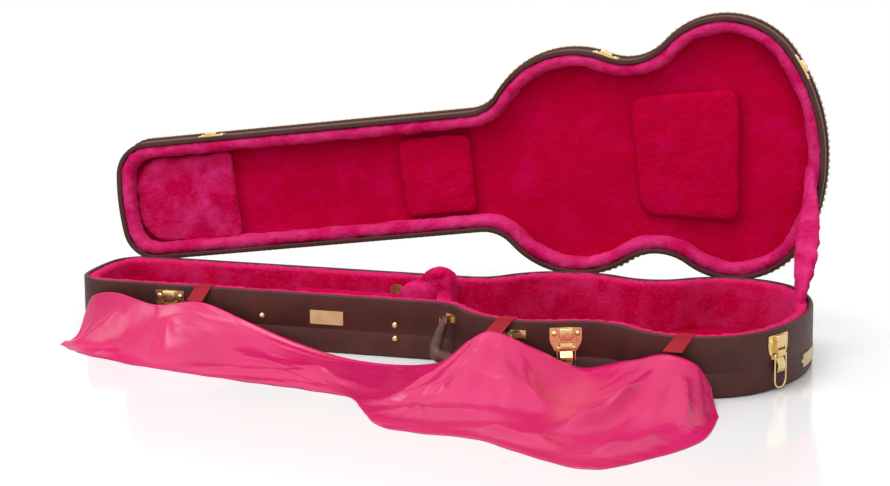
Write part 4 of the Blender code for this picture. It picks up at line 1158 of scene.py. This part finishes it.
# %% Settling the cover
SETTLE_FRAMES = 12
CLOTH = {
    "quality": 6, "mass": 0.12, "air_damping": 2, "vertex_group_mass": "held", "shrink_min": 0.004,
    "tension_stiffness": 20, "compression_stiffness": 20, "shear_stiffness": 6, "bending_stiffness": 7,
    "tension_damping": 10, "compression_damping": 10,
}


def collider(name, bm):
    body = linked(name, bm)
    body.modifiers.new("collision", "COLLISION")
    body.collision.thickness_outer = 0.002
    body.collision.cloth_friction = 15
    return body


def settle(bm, held):
    """Lets the solver shape the sheet, and gives the settled mesh as a new bmesh."""
    cloth = linked("sheet", bm)
    cloth.vertex_groups.new(name="held").add(held, 1.0, "REPLACE")
    front = ring([(0, 0), (0, RIM), (0.02, RIM)], 0.02, False)
    bodies = [collider("ground", grid(2, 2, 1.2)), collider("front", front)]
    solver = cloth.modifiers.new("cloth", "CLOTH")
    for key, value in CLOTH.items():
        setattr(solver.settings, key, value)
    solver.collision_settings.distance_min = 0.002
    solver.point_cache.frame_end = SETTLE_FRAMES
    for number in range(1, SETTLE_FRAMES + 1):
        bpy.context.scene.frame_set(number)
    settled = shaped(cloth)
    for body in [cloth, *bodies]:
        bpy.data.objects.remove(body)
    bpy.context.scene.frame_set(1)
    return settled


# %% Cover
FOLD_PRESS = 0.7
CLOTH_LOW = 0.0012
CLOTH_DROP = 0.0022
CLOTH_THICK = 0.0009
cover, held_edges, lifts = cover_start()
cover = settle(cover, held_edges)
inside = [vert for vert in cover.verts if not vert.is_boundary]
for vert in inside:
    vert.co.z += FOLD_PRESS * lifts[vert.index]
for _ in range(2):
    bmesh.ops.smooth_vert(cover, verts=inside, factor=0.5, use_axis_z=True)
for vert in cover.verts:
    vert.co.z = max(CLOTH_LOW, vert.co.z - CLOTH_DROP)
cover.normal_update()
cover_area = sum(face.calc_area() for face in cover.faces)
bmesh.ops.solidify(cover, geom=cover.faces[:], thickness=CLOTH_THICK)
satin_cover = make("satin_cover", cover, satin, ["shroud"], 180)
print("cover area", round(cover_area, 4), "square metres")

# %% [markdown]
# A ribbon comes from inside the rim, lies flat over it, and slants down outside to the cover's edge. It is a
# narrow grid whose rows follow that way, given the thickness of a woven band.

# %% Ribbons
# Each ribbon: its place u on the front side, and how far it slants to the head end.
RIBBONS = {
    "head": (0.2110, 0.0090),
    "waist": (CASE_LENGTH - 0.3870, 0.0120),
    "body": (CASE_LENGTH - 0.1305, 0.0130),
}
RIBBON_HALF = 0.012
RIBBON_TOP = RIM + 0.0007


def ribbon(u, slant):
    spot = front_at(u)
    bm = grid(6, 24)
    for vert in bm.verts:
        down = (1 - vert.co.y) / 2
        drop = max(0.0, down - 0.5) * 2
        out = min(0.046 * down - 0.019, 0.0012) + 0.013 * drop**1.5
        point, _ = walk(spot + vert.co.x * RIBBON_HALF - slant * drop, -out)
        vert.co = (*point, RIBBON_TOP - 0.019 * drop**1.15)
    bmesh.ops.recalc_face_normals(bm, faces=bm.faces)
    bmesh.ops.solidify(bm, geom=bm.faces[:], thickness=0.0006)
    return bm


for name, (u, slant) in RIBBONS.items():
    make(f"ribbon_{name}_strip", ribbon(u, slant), grosgrain, [f"ribbon_{name}"], 60)
print(len(RIBBONS), "ribbons")

# %% [markdown]
# ## Floor, light and camera
# The case stands on a white, slightly glossy floor. A floor with an edge or a horizon would show, so it
# turns transparent with distance and leaves the white background.

# %% Floor
FLOOR_MIDDLE = (0, -0.25, 0)
FADE_FROM, FADE_TO = 0.56, 0.85


def make_floor():
    floor = linked("floor", grid(1, 1, 14))
    white = finish("white_floor", (0.82, 0.82, 0.82), 0.12, Specular_IOR_Level=0.45)
    tree = white.node_tree
    values = {0: add(tree, "TexCoord").outputs["Object"], 1: FLOOR_MIDDLE}
    away = add(tree, "VectorMath", values, operation="DISTANCE").outputs["Value"]
    clear = add(tree, "BsdfTransparent").outputs["BSDF"]
    opaque = tree.nodes["Principled BSDF"].outputs["BSDF"]
    blend = add(tree, "MixShader", {0: ranged(away, FADE_FROM, FADE_TO), 1: opaque, 2: clear})
    feed(tree.nodes["Material Output"], {"Surface": blend.outputs["Shader"]})
    floor.data.materials.append(white)


make_floor()

# %% [markdown]
# The world is half as bright for the light it gives as for what the camera and reflections see. So the
# background is pure white while soft shadows remain.

# %% World
WHITE = (1, 1, 1, 1)
world = bpy.data.worlds.new("studio")
bpy.context.scene.world = world
world.use_nodes = True
tree = world.node_tree
dim = tree.nodes["Background"]
feed(dim, {"Color": WHITE, "Strength": 0.50})
seen = add(tree, "Background", {"Color": WHITE, "Strength": 1.0}).outputs[0]
ray = add(tree, "LightPath").outputs
direct = larger(ray["Is Camera Ray"], ray["Is Glossy Ray"])
choose = add(tree, "MixShader", {0: direct, 1: dim.outputs[0], 2: seen}).outputs[0]
feed(tree.nodes["World Output"], {"Surface": choose})

# %% [markdown]
# Large soft lamps light the case from above, from in front and from the left. The front one is the largest,
# because small lamps would make hard glints on satin and brass.


# %% Lamps
def lamp(name, place, target, size, power):
    light = bpy.data.lights.new(name, "AREA")
    light.size = size
    light.energy = power
    holder = bpy.data.objects.new(name, light)
    holder.location = place
    holder.rotation_euler = (Vector(target) - Vector(place)).to_track_quat("-Z", "Y").to_euler()
    bpy.context.scene.collection.objects.link(holder)


lamp("top_softbox", (-0.4, -0.6, 2.6), (0, 0.05, 0.1), 1.8, 56)
lamp("front_softbox", (1.4, -2.8, 2.2), (0, 0, 0.15), 2.6, 40)
lamp("left_softbox", (-2.4, -1.6, 1.5), (0, 0, 0.15), 1.2, 20)

# %% [markdown]
# The camera stands far away with a long lens, as in a shop's product picture. Its place and turns were
# worked out from the outlines of base and lid, and its focal length is counted in pixels of the photograph.

# %% Camera
CAMERA_PLACE = Vector((0.772, -3.646, 0.9178))
YAW, PITCH, ROLL = 0.2034, 0.2008, -0.0072
PIXEL_FOCAL = 2693.9
PHOTO_WIDTH = 890
camera = bpy.data.cameras.new("camera")
camera.sensor_fit = "HORIZONTAL"
camera.sensor_width = 36
camera.lens = PIXEL_FOCAL * camera.sensor_width / PHOTO_WIDTH
viewer = bpy.data.objects.new("camera", camera)
bpy.context.scene.collection.objects.link(viewer)
turns = Matrix.Rotation(YAW, 4, "Z") @ Matrix.Rotation(pi / 2 - PITCH, 4, "X") @ Matrix.Rotation(ROLL, 4, "Z")
viewer.matrix_world = Matrix.Translation(CAMERA_PLACE) @ turns
bpy.context.scene.camera = viewer
bpy.context.scene.view_settings.view_transform = "Standard"
print("camera lens", round(camera.lens, 2), "mm")
